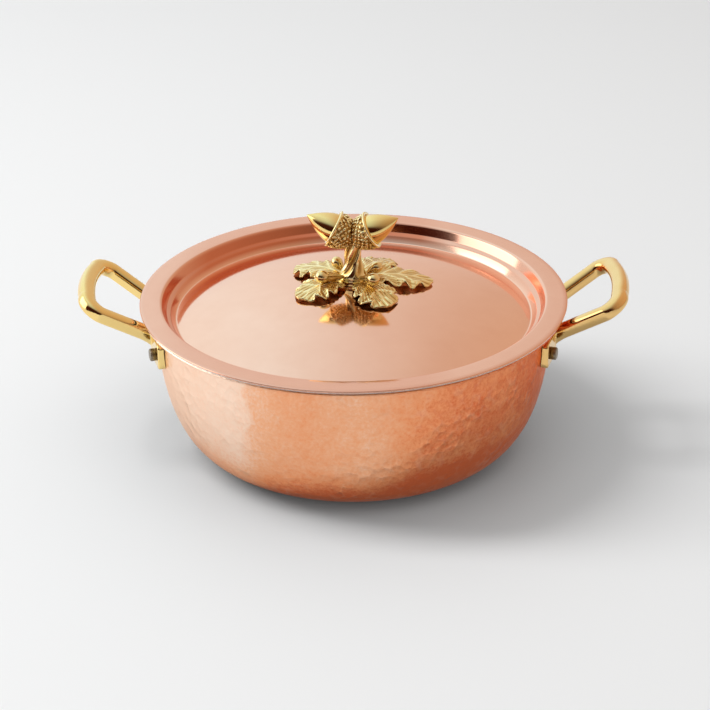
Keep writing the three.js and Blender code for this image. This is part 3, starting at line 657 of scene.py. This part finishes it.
def rounded_slab(near, far, low, high, left, right_side, edge, corner_radius):
    """A slab along X with rounded corners, and rounded edges on its far face."""
    def outline_at(inset):
        ring = []
        r = corner_radius - inset
        for cx, cz, start in (
            (right_side - inset - r, high - inset - r, 0),
            (left + inset + r, high - inset - r, 90),
            (left + inset + r, low + inset + r, 180),
            (right_side - inset - r, low + inset + r, 270),
        ):
            for step in range(CORNER_STEPS + 1):
                angle = math.radians(start + 90 * step / CORNER_STEPS)
                ring.append((cx + r * math.cos(angle), cz + r * math.sin(angle)))
        return ring
    slab = [[(near, y, z) for y, z in outline_at(0)]]
    for step in range(EDGE_STEPS + 1):
        angle = math.pi / 2 * step / EDGE_STEPS
        inset = edge * (1 - math.cos(angle))
        slab.append([(far - edge * (1 - math.sin(angle)), y, z) for y, z in outline_at(inset)])
    return skin(slab)


def turned_about(points, angle, lift=0):
    """Points turned about the upright axis, and lifted."""
    c, s = math.cos(angle), math.sin(angle)
    return [(x * c - y * s, x * s + y * c, z + lift) for x, y, z in points]


handle_points, handle_faces = skin(rings)
for side in (1, -1):
    reach_y = sorted((side * FOOT_OUTWARD, -side * FOOT_INWARD))
    foot_low = HANDLE_ROOT_HEIGHT - FOOT_DROP
    points, faces = rounded_slab(
        HANDLE_ROOT_RADIUS, FOOT_FACE_RADIUS, foot_low, foot_low + FOOT_HEIGHT,
        *reach_y, FOOT_EDGE, FOOT_CORNER,
    )
    first = len(handle_points)
    handle_points += turned_about(points, side * RIVET_AZIMUTH)
    handle_faces += [tuple(first + i for i in face) for face in faces]


def buffed_brass(finish, deep, pale):
    """Cast brass buffed bright, a little hazy from handling."""
    brass, nodes, where = surface(finish)
    haze = noise(nodes, where, 60, 3)
    buffing = noise(nodes, where, 700, 2)
    colour = mix_colours(nodes, haze, deep, pale)
    metal(nodes, colour, haze * 0.08 + 0.07, haze * 0.00006 + buffing * 0.000002)
    return brass


polished_brass = buffed_brass("polished_brass", (0.83, 0.52, 0.18, 1), (0.91, 0.61, 0.26, 1))
# A paler copy of the same brass as painted light: on the left handle for the lit side, on the acorn
# nuts as a painted highlight.
painted_light_brass = buffed_brass("buffed_brass_painted_light", (0.90, 0.63, 0.225, 1), (0.96, 0.725, 0.30, 1))
handle = plain_object("handle_cast_right", handle_points, handle_faces, polished_brass)
outward(handle, join=0.01)
melt = handle.modifiers.new("melt", "REMESH")
melt.mode = "VOXEL"
melt.voxel_size = CASTING_GRAIN * mm
melt.use_smooth_shade = True
soften = handle.modifiers.new("soften", "SMOOTH")
soften.factor = 0.5
soften.iterations = CASTING_ROUNDS
fused = formed_mesh(handle)
handle.modifiers.clear()
handle.data = fused
for vertex in handle.data.vertices:
    x, y, z = (c / mm for c in vertex.co)
    reach = math.hypot(x, y)
    nearest = SEAT + (wall_radius_at(z) if z < rim_underside - RIM_FILLET else 0)
    if reach < nearest:
        vertex.co.x *= nearest / reach
        vertex.co.y *= nearest / reach
handle.data.update()
left_mesh = handle.data.copy()
left_mesh.transform(Matrix.Rotation(math.pi, 4, "Z"))
left_mesh.materials[0] = painted_light_brass
handle_left = in_scene("handle_cast_left", left_mesh)
for made, node in ((handle, "handle_right"), (handle_left, "handle_left")):
    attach(made, "pan")
    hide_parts(node)

# Rivets: one through each foot of the handles, with a round button head outside that has gone
# dull and grey-brown, and a low domed head against the tin inside.
SHANK_RADIUS = 1.65
BUTTON_RADIUS = 4.1
BUTTON_HEIGHT = 3.3
BUTTON_ROUND = 0.9
INNER_HEAD_RADIUS = 5.4
INNER_HEAD_HEIGHT = 1.9
HEAD_STEPS = 10
tin_radius = wall_radius_at(RIVET_HEIGHT - INNER_HEAD_RADIUS) - PAN_WALL - SEAT - TIN
inner_seat = math.sqrt(tin_radius**2 - INNER_HEAD_RADIUS**2) - SEAT
button_seat = FOOT_FACE_RADIUS + SEAT
rivet_profile = []
for k in range(HEAD_STEPS + 1):
    angle = math.pi / 2 * k / HEAD_STEPS
    rivet_profile.append((
        INNER_HEAD_RADIUS * math.sin(angle), inner_seat - INNER_HEAD_HEIGHT * math.cos(angle),
    ))
rivet_profile += [(SHANK_RADIUS, inner_seat), *rounded_path([
    (SHANK_RADIUS, button_seat), (BUTTON_RADIUS, button_seat),
    (BUTTON_RADIUS, button_seat + BUTTON_HEIGHT, BUTTON_ROUND), (0, button_seat + BUTTON_HEIGHT),
])]

dark_rivet, nodes, where = surface("dull_rivet")
stain = noise(nodes, where, 420, 4)
colour = mix_colours(nodes, stain, (0.16, 0.12, 0.08, 1), (0.42, 0.36, 0.27, 1))
metal(nodes, colour, stain * 0.2 + 0.3, stain * 0.00008)

rivet_tree, nodes, inputs = group_tree(
    "rivets_round_the_pan", {"Azimuth": "Float", "Height": "Float", "Material": "Material"},
)
places = nodes.add("GeometryNodeMeshLine", {"Count": 4})
index = nodes.add("GeometryNodeInputIndex")
sign = (index % 2.0) * 2.0 - 1.0
half_turn = (index / 2.0).then("FLOOR") * math.pi
level = nodes.vector(0.0, 0.0, inputs.output("Height"))
spots = nodes.add("GeometryNodeSetPosition", {0: places, "Position": level})
set_in = nodes.add("GeometryNodeInstanceOnPoints", {
    0: spots, "Instance": inputs.output("Geometry"),
    "Rotation": nodes.vector(0.0, math.pi / 2, half_turn + sign * inputs.output("Azimuth")),
})
close_tree(nodes, set_in, inputs.output("Material"))
one_rivet = spun("one_rivet", rivet_profile, dark_rivet, around=40)
rivets = outward(grown("rivets", one_rivet, rivet_tree, {
    "Azimuth": RIVET_AZIMUTH, "Height": RIVET_HEIGHT * mm, "Material": dark_rivet,
}))
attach(rivets, "pan")
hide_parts("rivet_right_front", "rivet_right_back", "rivet_left_front", "rivet_left_back")

# Lid: smooth copper sheet spun to a flat brim, two steps down inside the wall, and a low dome
# that rises again to the knob. Polished, with faint rings from the lathe. The steps and, more
# faintly, the brim are painted deep red as a painted dark reflection, and the brim's outer edge
# carries a painted shade.
LID_RADIUS = 140
LID_WALL = 1.2
BRIM_INNER_RADIUS = 125.5
LEDGE_OUTER_RADIUS = 122.6
LEDGE_INNER_RADIUS = 119.9
PANEL_RADIUS = 116.6
LEDGE_OUTER_DEPTH = 6.6
LEDGE_INNER_DEPTH = 7.8
PANEL_DEPTH = 12.6
DOME_RISE = 21.8
HOLLOW_FILLET = 1.2
BEND_INSIDE = 0.5
BEND_TO_FLAT = 5
STUD_HOLE = 1.95
DOME_ROWS = 40
EDGE_ROLL = [(3.4, 0), (2.4, 0.03), (1.4, 0.14), (0.6, 0.34), (0, 0.62)]
EDGE_TONE_WIDTH = 5
DOME_RADIUS = (PANEL_RADIUS**2 + DOME_RISE**2) / (2 * DOME_RISE)
DOME_TOP = DOME_RISE - PANEL_DEPTH


def dome_drop(radius_mm):
    return DOME_RADIUS - math.sqrt(DOME_RADIUS**2 - radius_mm**2)


outer_fillet = LID_WALL + SEAT + TIN + BEND_INSIDE
dome_rows = [STUD_HOLE + (PANEL_RADIUS - STUD_HOLE) * k / DOME_ROWS for k in range(DOME_ROWS)]
lid_path = rounded_path([
    *[(r, DOME_TOP - dome_drop(r)) for r in dome_rows],
    (PANEL_RADIUS, -PANEL_DEPTH, HOLLOW_FILLET),
    (LEDGE_INNER_RADIUS, -LEDGE_INNER_DEPTH, outer_fillet),
    (LEDGE_OUTER_RADIUS, -LEDGE_OUTER_DEPTH, HOLLOW_FILLET),
    (BRIM_INNER_RADIUS, 0, outer_fillet), (BRIM_INNER_RADIUS + BEND_TO_FLAT, 0),
    *[(LID_RADIUS - inset, -drop) for inset, drop in EDGE_ROLL],
])


def lid_layer(depth, thickness, edge_trim=0, edge_steps=8):
    outline = sheet_profile(lid_path, -depth - thickness, thickness, edge_trim, edge_steps)
    return outline + np.array((0, BRIM_HEIGHT))


polished_copper, nodes, where = surface("polished_copper")
to_right, to_back, above_foot = where.parts()
from_axis = (to_right * to_right + to_back * to_back) ** 0.5
lathe_rings = noise(nodes, nodes.vector(from_axis, 0.0, above_foot), 1400, 2)
blush = noise(nodes, where, 9, 2)
mottle = noise(nodes, where, 55, 4, 0.6)
clouding = blush * 0.6 + mottle * 0.8 - 0.2
colour = mix_colours(nodes, clouding, (0.90, 0.54, 0.39, 1), (0.97, 0.63, 0.475, 1))
# Painted dark reflection: the steps, and more faintly the brim, are painted deep red, less so on
# the right where the window's highlight falls and on the far left.
painted_reflection_by_side = ramp(
    nodes, to_right * 4 + 0.5,
    (0.01, grey(0.5)), (0.1, grey(1)), (0.68, grey(1)), (0.76, grey(0.34)),
)
in_step = ramp(
    nodes, (from_axis - PANEL_RADIUS * mm) / ((BRIM_INNER_RADIUS + 1 - PANEL_RADIUS) * mm),
    (0.0, grey(0)), (0.25, grey(1)), (0.8, grey(1)), (1.0, grey(0.27)),
)
colour = mix_colours(nodes, in_step * painted_reflection_by_side * 0.92, colour, (0.66, 0.20, 0.10, 1))
# Painted shade along the outer edge of the brim, where it rolls down.
near_edge = (from_axis - (LID_RADIUS - EDGE_TONE_WIDTH) * mm) / (EDGE_TONE_WIDTH * mm)
painted_edge_shade = ramp(nodes, near_edge, (0.2, grey(0)), (0.9, grey(0.55)))
colour = mix_colours(nodes, painted_edge_shade, colour, (0.80, 0.43, 0.31, 1))
metal(
    nodes, colour, blush * 0.05 + in_step * 0.04 + 0.075,
    lathe_rings * 0.0000022 + blush * 0.00012, (1.0, 0.88, 0.82, 1),
)

lid_sheet = spun("lid_sheet", lid_layer(0, LID_WALL), polished_copper, closed=True)
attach(lid_sheet, "lid")
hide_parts("lid_shell")

# Lid lining: the same wiped tin on the underside of the lid's copper. It follows the dome, the
# steps and the brim and ends just inside the copper's edge.
tin_outline = lid_layer(LID_WALL + SEAT, TIN, edge_trim=TIN / 4, edge_steps=6)
lid_tin = spun("lid_tin", tin_outline, bright_tin, closed=True)
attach(lid_tin, "lid")
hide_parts("lid_lining")

# Knob stem: cast brass, a round hub with a shaft of deep twisted flutes that narrows towards the
# acorns. It is chased by hand and left satin between its bright ridges.
KNOB_TURN = math.radians(-6)
KNOB_BASE = BRIM_HEIGHT + DOME_TOP
HUB_RADIUS = 9.2
HUB_HEIGHT = 4.2
HUB_EDGES = [(SEAT, 0.4), (SEAT + 0.5, 0), (HUB_HEIGHT - 0.5, 0), (HUB_HEIGHT - 0.1, 0.2)]
STEM_HEIGHT = 28
STEM_FOOT_RADIUS = 9
STEM_WAIST_RADIUS = 5.7
STEM_HEAD_RADIUS = 5.6
STEM_FLUTE = 1.3
STEM_FLUTES = 5
FLUTE_POWER = 2.2
RIDGE_CREASE = 0.22
RIDGE_CREASE_POWER = 6
STEM_TWIST_TURNS = 0.34
STEM_AROUND = 160
STEM_ROWS = 60
STEM_RELIEF = 1.1

cast_brass, nodes, where = surface("cast_brass")
tooling = noise(nodes, where, 1500, 3)
tone = noise(nodes, where, 140, 3)
# The colour follows the relief: darker patina in the hollows, paler on the crests, partly from wear
# and partly a painted highlight.
relief = nodes.add("ShaderNodeAttribute", attribute_name="crest").output("Fac")
worn_and_painted_highlight = ramp(nodes, relief + tone * 0.2 - 0.1, (0.1, grey(0)), (0.6, grey(0.8)), (0.95, grey(1)))
hollows = mix_colours(nodes, tone, (0.44, 0.22, 0.045, 1), (0.62, 0.38, 0.12, 1))
crest_wear_and_painted_highlight = mix_colours(nodes, relief, (0.91, 0.62, 0.22, 1), (1.0, 0.83, 0.44, 1))
colour = mix_colours(nodes, worn_and_painted_highlight, hollows, crest_wear_and_painted_highlight)
metal(nodes, colour, 0.36 - worn_and_painted_highlight * 0.21, tooling * 0.00003 + tone * 0.00015)


def with_crest(made, heights):
    """Stores 0 in a hollow to 1 on a crest: the height in the cast relief, with painted shine on
    leaves.
    """
    crest = made.data.attributes.new("crest", "FLOAT", "POINT")
    crest.data.foreach_set("value", [min(1.0, max(0.0, height)) for height in heights])


def eased(share):
    return share * share * (3 - 2 * share)


def on_lid(points):
    """Points from the knob's own frame, with its small turn, to where it stands on the lid."""
    return turned_about(points, KNOB_TURN, KNOB_BASE)


def stem_ring(level_mm, radius_mm, flute=0, twist=0):
    ring = []
    for k in range(STEM_AROUND):
        angle = 2 * math.pi * k / STEM_AROUND
        groove = ((1 + math.cos(STEM_FLUTES * angle)) / 2) ** FLUTE_POWER
        crease = ((1 + math.cos(2 * STEM_FLUTES * angle + math.pi)) / 2) ** RIDGE_CREASE_POWER
        r = radius_mm - flute * (groove + RIDGE_CREASE * crease * (1 - groove))
        ring.append((r * math.cos(angle + twist), r * math.sin(angle + twist), level_mm))
    return ring


stem_rings = [stem_ring(level_mm, HUB_RADIUS - inset) for level_mm, inset in HUB_EDGES]
for row_number in range(1, STEM_ROWS + 1):
    share = row_number / STEM_ROWS
    start, end, passed = (
        (STEM_FOOT_RADIUS, STEM_WAIST_RADIUS, 2 * share) if share < 0.5
        else (STEM_WAIST_RADIUS, STEM_HEAD_RADIUS, 2 * share - 1)
    )
    radius_mm = start + (end - start) * eased(passed)
    level_mm = HUB_HEIGHT + (STEM_HEIGHT - HUB_HEIGHT) * share
    flute = STEM_FLUTE * eased(min(1, 4 * share))
    twist = 2 * math.pi * STEM_TWIST_TURNS * share
    stem_rings.append(stem_ring(level_mm, radius_mm, flute, twist))
crests = []
for ring in stem_rings:
    reach = [math.hypot(x, y) for x, y, z in ring]
    crests += [1 - (max(reach) - r) / STEM_RELIEF for r in reach]
stem = plain_object("stem", *skin([on_lid(r) for r in stem_rings]), cast_brass)
with_crest(stem, crests)
outward(stem, join=0.005)
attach(stem, "lid")
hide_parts("knob_stem")

# Acorn cups: two brass bowls leaning apart, cast back to back. Small overlapping scales run in
# spirals over each, up to the smooth bead round its mouth.
ACORN_HEIGHT = 37
ACORN_OFFSET = 12.2
ACORN_TILT = math.radians(27)
CUP_RADIUS = 11.8
CUP_LENGTH = 15.5
CUP_BEAD = 0.9
BEAD_INSET = 0.1
BEAD_BULGE = 0.05
BEAD_BLEND = 0.3
BEAD_ROWS = 9
INNER_LIP_SHARE = 0.7
CUP_ROUND_POWER = 0.8
CUP_SUNK = 0.55
CUP_ROWS = 24
SCALE_COUNT = 130
SCALE_WIDTH = 2.35
SCALE_SHAPE = (0.82, 1.5, 0.75)
SCALE_SEED = 4
SCALE_TUCK = 0.8
TIP_SCALE_SHARE = 0.72
SCALED_SHARE = 0.96
GOLDEN_TURN = 2.399963
NUT_RADIUS = 9.9
NUT_LENGTH = 19.8
NUT_POINT_POWER = 1.65
NUT_SEAT = 2.4


def knob_place(azimuth, offset, tilt):
    """From a knob piece's own axis to its place on the lid, in metres."""
    return (
        Matrix.Translation((0, 0, KNOB_BASE * mm))
        @ Matrix.Rotation(KNOB_TURN + azimuth, 4, "Z")
        @ Matrix.Translation(offset)
        @ Matrix.Rotation(tilt, 4, "Y")
    )


def acorn_place(side):
    offset = (side * ACORN_OFFSET * mm, 0, ACORN_HEIGHT * mm)
    return knob_place(0, offset, side * (math.pi / 2 - ACORN_TILT))


bowl_radius = CUP_RADIUS - CUP_SUNK
bowl_depth = CUP_LENGTH - CUP_BEAD - CUP_SUNK
cup_profile = []
for k in range(CUP_ROWS + 1):
    angle = math.pi / 2 * k / CUP_ROWS
    cup_profile.append((
        bowl_radius * math.sin(angle) ** CUP_ROUND_POWER, -CUP_BEAD - bowl_depth * math.cos(angle),
    ))
cup_profile += [
    (CUP_RADIUS - BEAD_INSET + (CUP_BEAD + BEAD_BULGE) * math.cos(a), CUP_BEAD * math.sin(a))
    for a in np.linspace(-math.pi / 2, math.pi / 2, BEAD_ROWS)
]
cup_profile += [
    (NUT_RADIUS + SEAT, CUP_BEAD * INNER_LIP_SHARE), (NUT_RADIUS + SEAT, -NUT_SEAT), (0, -NUT_SEAT),
]

scale_tree, nodes, inputs = group_tree("scales_on_a_cup", {
    "Scales": "Int", "Bowl radius": "Float", "Bowl depth": "Float", "Bead": "Float",
    "Width": "Float", "Material": "Material",
})
total = inputs.output("Scales")
line = nodes.add("GeometryNodeMeshLine", {"Count": total})
order = nodes.add("GeometryNodeInputIndex")
lean = ((order + 0.5) / total) ** 0.5 * (math.pi / 2 * SCALED_SHARE)
spiral = order * GOLDEN_TURN
bowl_r = inputs.output("Bowl radius") * lean.sine() ** CUP_ROUND_POWER
bowl_z = 0.0 - inputs.output("Bead") - inputs.output("Bowl depth") * lean.cosine()
bowl_place = nodes.vector(bowl_r * spiral.cosine(), bowl_r * spiral.sine(), bowl_z)
outward_way = nodes.vector(
    lean.sine() * spiral.cosine(), lean.sine() * spiral.sine(), 0.0 - lean.cosine() * SCALE_TUCK,
)
stood = nodes.add("FunctionNodeAlignRotationToVector", {"Vector": outward_way}, axis="Z")
mouthward = nodes.add(
    "FunctionNodeAlignRotationToVector", {"Rotation": stood, "Vector": nodes.vector(0.0, 0.0, 1.0)},
    axis="Y", pivot_axis="Z",
)
drop = nodes.add("GeometryNodeMeshIcoSphere", {"Radius": 0.5, "Subdivisions": 2})
_, _, drop_height = nodes.add("GeometryNodeInputPosition").parts()
drop = nodes.add("GeometryNodeStoreNamedAttribute", {
    0: drop, "Name": "crest", "Value": drop_height * 2.6 - 0.02,
})
spots = nodes.add("GeometryNodeSetPosition", {0: line, "Position": bowl_place})
wild = nodes.add("FunctionNodeRandomValue", {2: 0.72, 3: 1.28, "Seed": SCALE_SEED}, 1)
askew = nodes.add("FunctionNodeRandomValue", {
    0: (-0.45, -0.45, -1.5), 1: (0.45, 0.45, 1.5), "Seed": SCALE_SEED + 1,
}, data_type="FLOAT_VECTOR")
grade = TIP_SCALE_SHARE + (1 - TIP_SCALE_SHARE) * lean.sine()
size = inputs.output("Width") * grade * wild
turned = nodes.add("FunctionNodeRotateRotation", {0: mouthward, 1: askew}, rotation_space="LOCAL")
laid = nodes.add("GeometryNodeInstanceOnPoints", {
    0: spots, "Instance": drop, "Rotation": turned,
    "Scale": nodes.vector(*[size * share for share in SCALE_SHAPE]),
})
covered = nodes.add("GeometryNodeJoinGeometry", {0: laid})
nodes.tree.links.new(inputs.output("Geometry").socket, covered.socket.node.inputs[0])
close_tree(nodes, covered, inputs.output("Material"))

for side, label in ((1, "right"), (-1, "left")):
    bowl = spun("bowl_" + label, cup_profile, cast_brass, around=96)
    with_crest(bowl, [(v.co.z / mm + CUP_BEAD) / BEAD_BLEND + 1 for v in bowl.data.vertices])
    cup = grown("cup_" + label, bowl, scale_tree, {
        "Scales": SCALE_COUNT, "Bowl radius": bowl_radius * mm, "Bowl depth": bowl_depth * mm,
        "Bead": CUP_BEAD * mm, "Width": SCALE_WIDTH * mm, "Material": cast_brass,
    })
    cup.data.transform(acorn_place(side))
    split = bmesh.new()
    split.from_mesh(cup.data)
    across = Matrix.Rotation(KNOB_TURN, 3, "Z") @ Vector((side, 0, 0))
    cut = bmesh.ops.bisect_plane(
        split, geom=[*split.verts, *split.edges, *split.faces], plane_co=across * (SEAT / 2 * mm),
        plane_no=across, clear_inner=True,
    )
    rim_edges = [e for e in cut["geom_cut"] if isinstance(e, bmesh.types.BMEdge)]
    bmesh.ops.holes_fill(split, edges=rim_edges)
    split.to_mesh(cup.data)
    split.free()
    outward(cup, join=0.001)
    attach(cup, "lid")
    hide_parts("acorn_cup_" + label)

# Acorn nuts: smooth ovals of polished brass that end in a small point. Each is set fast in its
# cup, and both are a little paler than the right handle, a painted highlight in the brass.
NUT_ROWS = 40
nut_profile = [(0, SEAT - NUT_SEAT), (NUT_RADIUS, SEAT - NUT_SEAT)]
nut_profile += [
    (NUT_RADIUS * (1 - (k / NUT_ROWS) ** NUT_POINT_POWER), NUT_LENGTH * k / NUT_ROWS)
    for k in range(NUT_ROWS + 1)
]
for side, label in ((1, "right"), (-1, "left")):
    nut = spun("nut_" + label, nut_profile, painted_light_brass, around=96)
    nut.data.transform(acorn_place(side))
    nut.data.update()
    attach(nut, "lid")
    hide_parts("acorn_nut_" + label)

# Oak leaves: five leaves of cast brass that spring from the hub and arch over the dome, each with
# deep round lobes, a midrib in a valley, raised side veins and drooping, ruffled edges.
LEAF_LENGTH = 43
LEAF_HALF_WIDTH = 14.6
LEAF_THICKNESS = 1.7
LEAF_ROOT_HALF_WIDTH = 6.4
LEAF_ARCH = 3.4
LEAF_DROOP = 1.6
LEAF_TIP_LIFT = 1.5
LEAF_VEIN_DEPTH = 1.1
LEAF_LOBES = 4
LOBE_DEPTH = 0.34
NOTCH_POWER = 2.2
LEAF_TEETH = 13
TOOTH_DEPTH = 0.5
LEAF_RUFFLE = 1.3
VEINS = 84
VEIN_ORIGIN = 2
CHASED_DEPTH = 0.34
SIDE_STAGGER = 0.03
LOBE_WANDER = 0.012
VEIN_SWEEP = 1.35
MIDRIB_WIDTH = 0.7
MIDRIB_HEIGHT = 0.5
SIDE_VEIN_HEIGHT = 0.4
EDGE_HEIGHT = 0.3
DIMPLE_HEIGHT = 0.3
LEAF_ROWS = 150
LEAF_ACROSS = 90
LEAVES = [
    ("right", 12, 1), ("back_right", 64, 0.82), ("back_left", 150, 0.88),
    ("front_left", 219, 0.78), ("front_right", 308, 0.8),
]


def leaf_mesh(length, room_left, room_right):
    """Rings of points across a leaf from root to tip, and how high each stands in the relief."""
    all_rings = []
    crests = []
    for row_number in range(LEAF_ROWS + 1):
        share = row_number / LEAF_ROWS
        along = HUB_RADIUS + SEAT + length * share
        swell = max(0.0, math.sin(math.pi * share**1.2)) ** 0.7
        narrow = LEAF_ROOT_HALF_WIDTH * (1 - 0.75 * share)
        under = LEAF_TIP_LIFT + LEAF_ARCH * math.sin(math.pi * share**0.8)

        def point(across, lift):
            room = room_left if across > 0 else room_right
            stagger = SIDE_STAGGER if across > 0 else -SIDE_STAGGER
            placed = share + stagger * swell + LOBE_WANDER * math.sin(17 * share + 5 * room)
            lobe_wave = math.cos(2 * math.pi * LEAF_LOBES * placed)
            lobes = 1 - LOBE_DEPTH * ((1 + lobe_wave) / 2) ** NOTCH_POWER
            half = narrow + (LEAF_HALF_WIDTH - narrow) * swell * lobes
            tooth = 2 * abs(math.sin(math.pi * LEAF_TEETH * placed)) ** 0.7 - 1
            half += TOOTH_DEPTH * swell * tooth
            y = across * min(half, along * math.tan(room) - SEAT / 2 / math.cos(room))
            floor_z = -dome_drop(math.hypot(along, y))
            droop = LEAF_DROOP * across**2 * swell
            valley = LEAF_VEIN_DEPTH * (1 - abs(across)) ** 2 * swell
            ruffle = LEAF_RUFFLE * abs(across) ** 2.5 * lobe_wave * swell
            base = floor_z + under - droop - valley + ruffle
            base = max(floor_z + SEAT + LEAF_TIP_LIFT / 2, base)
            if lift <= 0:
                crests.append(0.05)
                return (along, y, base)
            fan = math.atan2(y, along - VEIN_ORIGIN)
            bend = 0.9 * math.sin(9 * share + 3 * across) + 1.6 * share
            chased = ((1 + math.cos(VEINS * fan + bend * math.copysign(1, across))) / 2) ** 4
            chased *= min(1, 5 * abs(across)) * min(1, 4 * share)
            swept = math.pi * (LEAF_LOBES * placed - VEIN_SWEEP * abs(across) ** 0.8 + 0.2)
            side_vein = abs(math.cos(swept)) ** 12
            side_vein *= min(1, 4 * abs(across)) * swell
            dimple = math.cos(2 * swept)
            midrib = math.exp(-((y / MIDRIB_WIDTH) ** 2))
            edge = math.sqrt(max(0.0, 1 - abs(across) ** 12))
            rolled = max(0, abs(across) - 0.82) / 0.18
            relief = (
                SIDE_VEIN_HEIGHT * side_vein + MIDRIB_HEIGHT * midrib - CHASED_DEPTH * chased
                + EDGE_HEIGHT * rolled * swell + DIMPLE_HEIGHT * dimple * abs(across) * swell
            )
            # How pale the brass is painted: darker patina in the chased lines, paler on the veins
            # and midrib, and a painted highlight along the rolled edges and on the dimples' crests.
            shine = 0.58 + 0.4 * (side_vein + midrib - chased) + 0.45 * rolled + 0.12 * dimple
            crests.append(shine if edge > 0.4 else 0.25)
            return (along, y, base + (lift - 0.5 + relief) * edge)

        ring = [point(-1 + 2 * k / LEAF_ACROSS, 0) for k in range(LEAF_ACROSS + 1)]
        ring += [point(1 - 2 * k / LEAF_ACROSS, LEAF_THICKNESS) for k in range(1, LEAF_ACROSS)]
        all_rings.append(ring)
    return all_rings, crests


for place, (label, azimuth, length_share) in enumerate(LEAVES):
    following = (LEAVES[(place + 1) % len(LEAVES)][1] - azimuth) % 360
    preceding = (azimuth - LEAVES[place - 1][1]) % 360
    rings, crests = leaf_mesh(
        LEAF_LENGTH * length_share, math.radians(following / 2), math.radians(preceding / 2),
    )
    rings = [on_lid(turned_about(ring, math.radians(azimuth))) for ring in rings]
    leaf = plain_object("oak_leaf_" + label, *skin(rings), cast_brass)
    with_crest(leaf, crests)
    outward(leaf, join=0.001)
    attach(leaf, "lid")
    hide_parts("leaf_" + label)

# Buds: four small cast balls on slender stalks that rise between the leaves. Each ball is creased
# below, where the stalk widens into it, and the four differ in reach and in fullness.
BUD_RADIUS = 3.8
BUD_REACH = 24
BUD_HEIGHT = 9.7
BUD_STALK_RADIUS = 1.5
BUD_EGG = 1.1
CALYX_SHARE = 0.86
BUD_CREASES = 7
BUD_CREASE_SHARE = 0.14
CALYX_ROWS = 12
BALL_ROWS = 18
BUDS = [
    ("right_back", 10, 0.64, 1), ("left_back", 146, 0.58, 1), ("left_front", 221, 1, 1.16),
    ("right_front", 312, 0.94, 1.08),
]
stalk_start = Vector((STEM_FOOT_RADIUS + SEAT, 0, HUB_HEIGHT + BUD_STALK_RADIUS))
joint_angle = math.asin(CALYX_SHARE)
for label, azimuth, reach_share, fullness in BUDS:
    ball = BUD_RADIUS * fullness
    stalk = Vector((BUD_REACH * reach_share, 0, BUD_HEIGHT)) - stalk_start
    calyx_end = stalk.length - ball * math.cos(joint_angle) * BUD_EGG
    widening = CALYX_SHARE * ball - BUD_STALK_RADIUS
    bud_profile = [(0, 0)] + [
        (BUD_STALK_RADIUS + widening * eased(k / CALYX_ROWS), calyx_end * k / CALYX_ROWS)
        for k in range(CALYX_ROWS)
    ]
    for k in range(BALL_ROWS + 1):
        angle = joint_angle + (math.pi - joint_angle) * k / BALL_ROWS
        bud_profile.append(
            (ball * math.sin(angle), stalk.length - ball * math.cos(angle) * BUD_EGG)
        )
    bud_profile[-1] = (0, bud_profile[-1][1])
    bud = spun("bud_ball_" + label, bud_profile, cast_brass, around=84)
    shines = []
    for vertex in bud.data.vertices:
        level_mm = vertex.co.z / mm - stalk.length
        crease = (0.5 + 0.5 * math.cos(BUD_CREASES * math.atan2(vertex.co.y, vertex.co.x))) ** 2
        crease *= min(1, max(0, 1.5 * (-0.25 - level_mm / ball)))
        shines.append(0.66 - 0.5 * crease)
        vertex.co.x *= 1 - BUD_CREASE_SHARE * crease
        vertex.co.y *= 1 - BUD_CREASE_SHARE * crease
    with_crest(bud, shines)
    tilt = math.atan2(stalk.x, stalk.z)
    bud.data.transform(knob_place(math.radians(azimuth), stalk_start * mm, tilt))
    bud.data.update()
    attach(bud, "lid")
    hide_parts("bud_" + label)

# Fixing: a stud screwed up into the knob's stem, with a washer and a hexagon nut that draw it
# tight from under the lid. All three are plain turned steel and keep the shapes of the CAD.
fixing_steel, nodes, where = surface("plain_steel")
turned_marks = noise(nodes, where, 1200, 2)
colour = mix_colours(nodes, turned_marks, (0.48, 0.49, 0.50, 1), (0.62, 0.63, 0.64, 1))
metal(nodes, colour, turned_marks * 0.15 + 0.22)
for node in ("knob_stud", "knob_washer", "knob_nut"):
    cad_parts[node].material_slots[0].material = fixing_steel
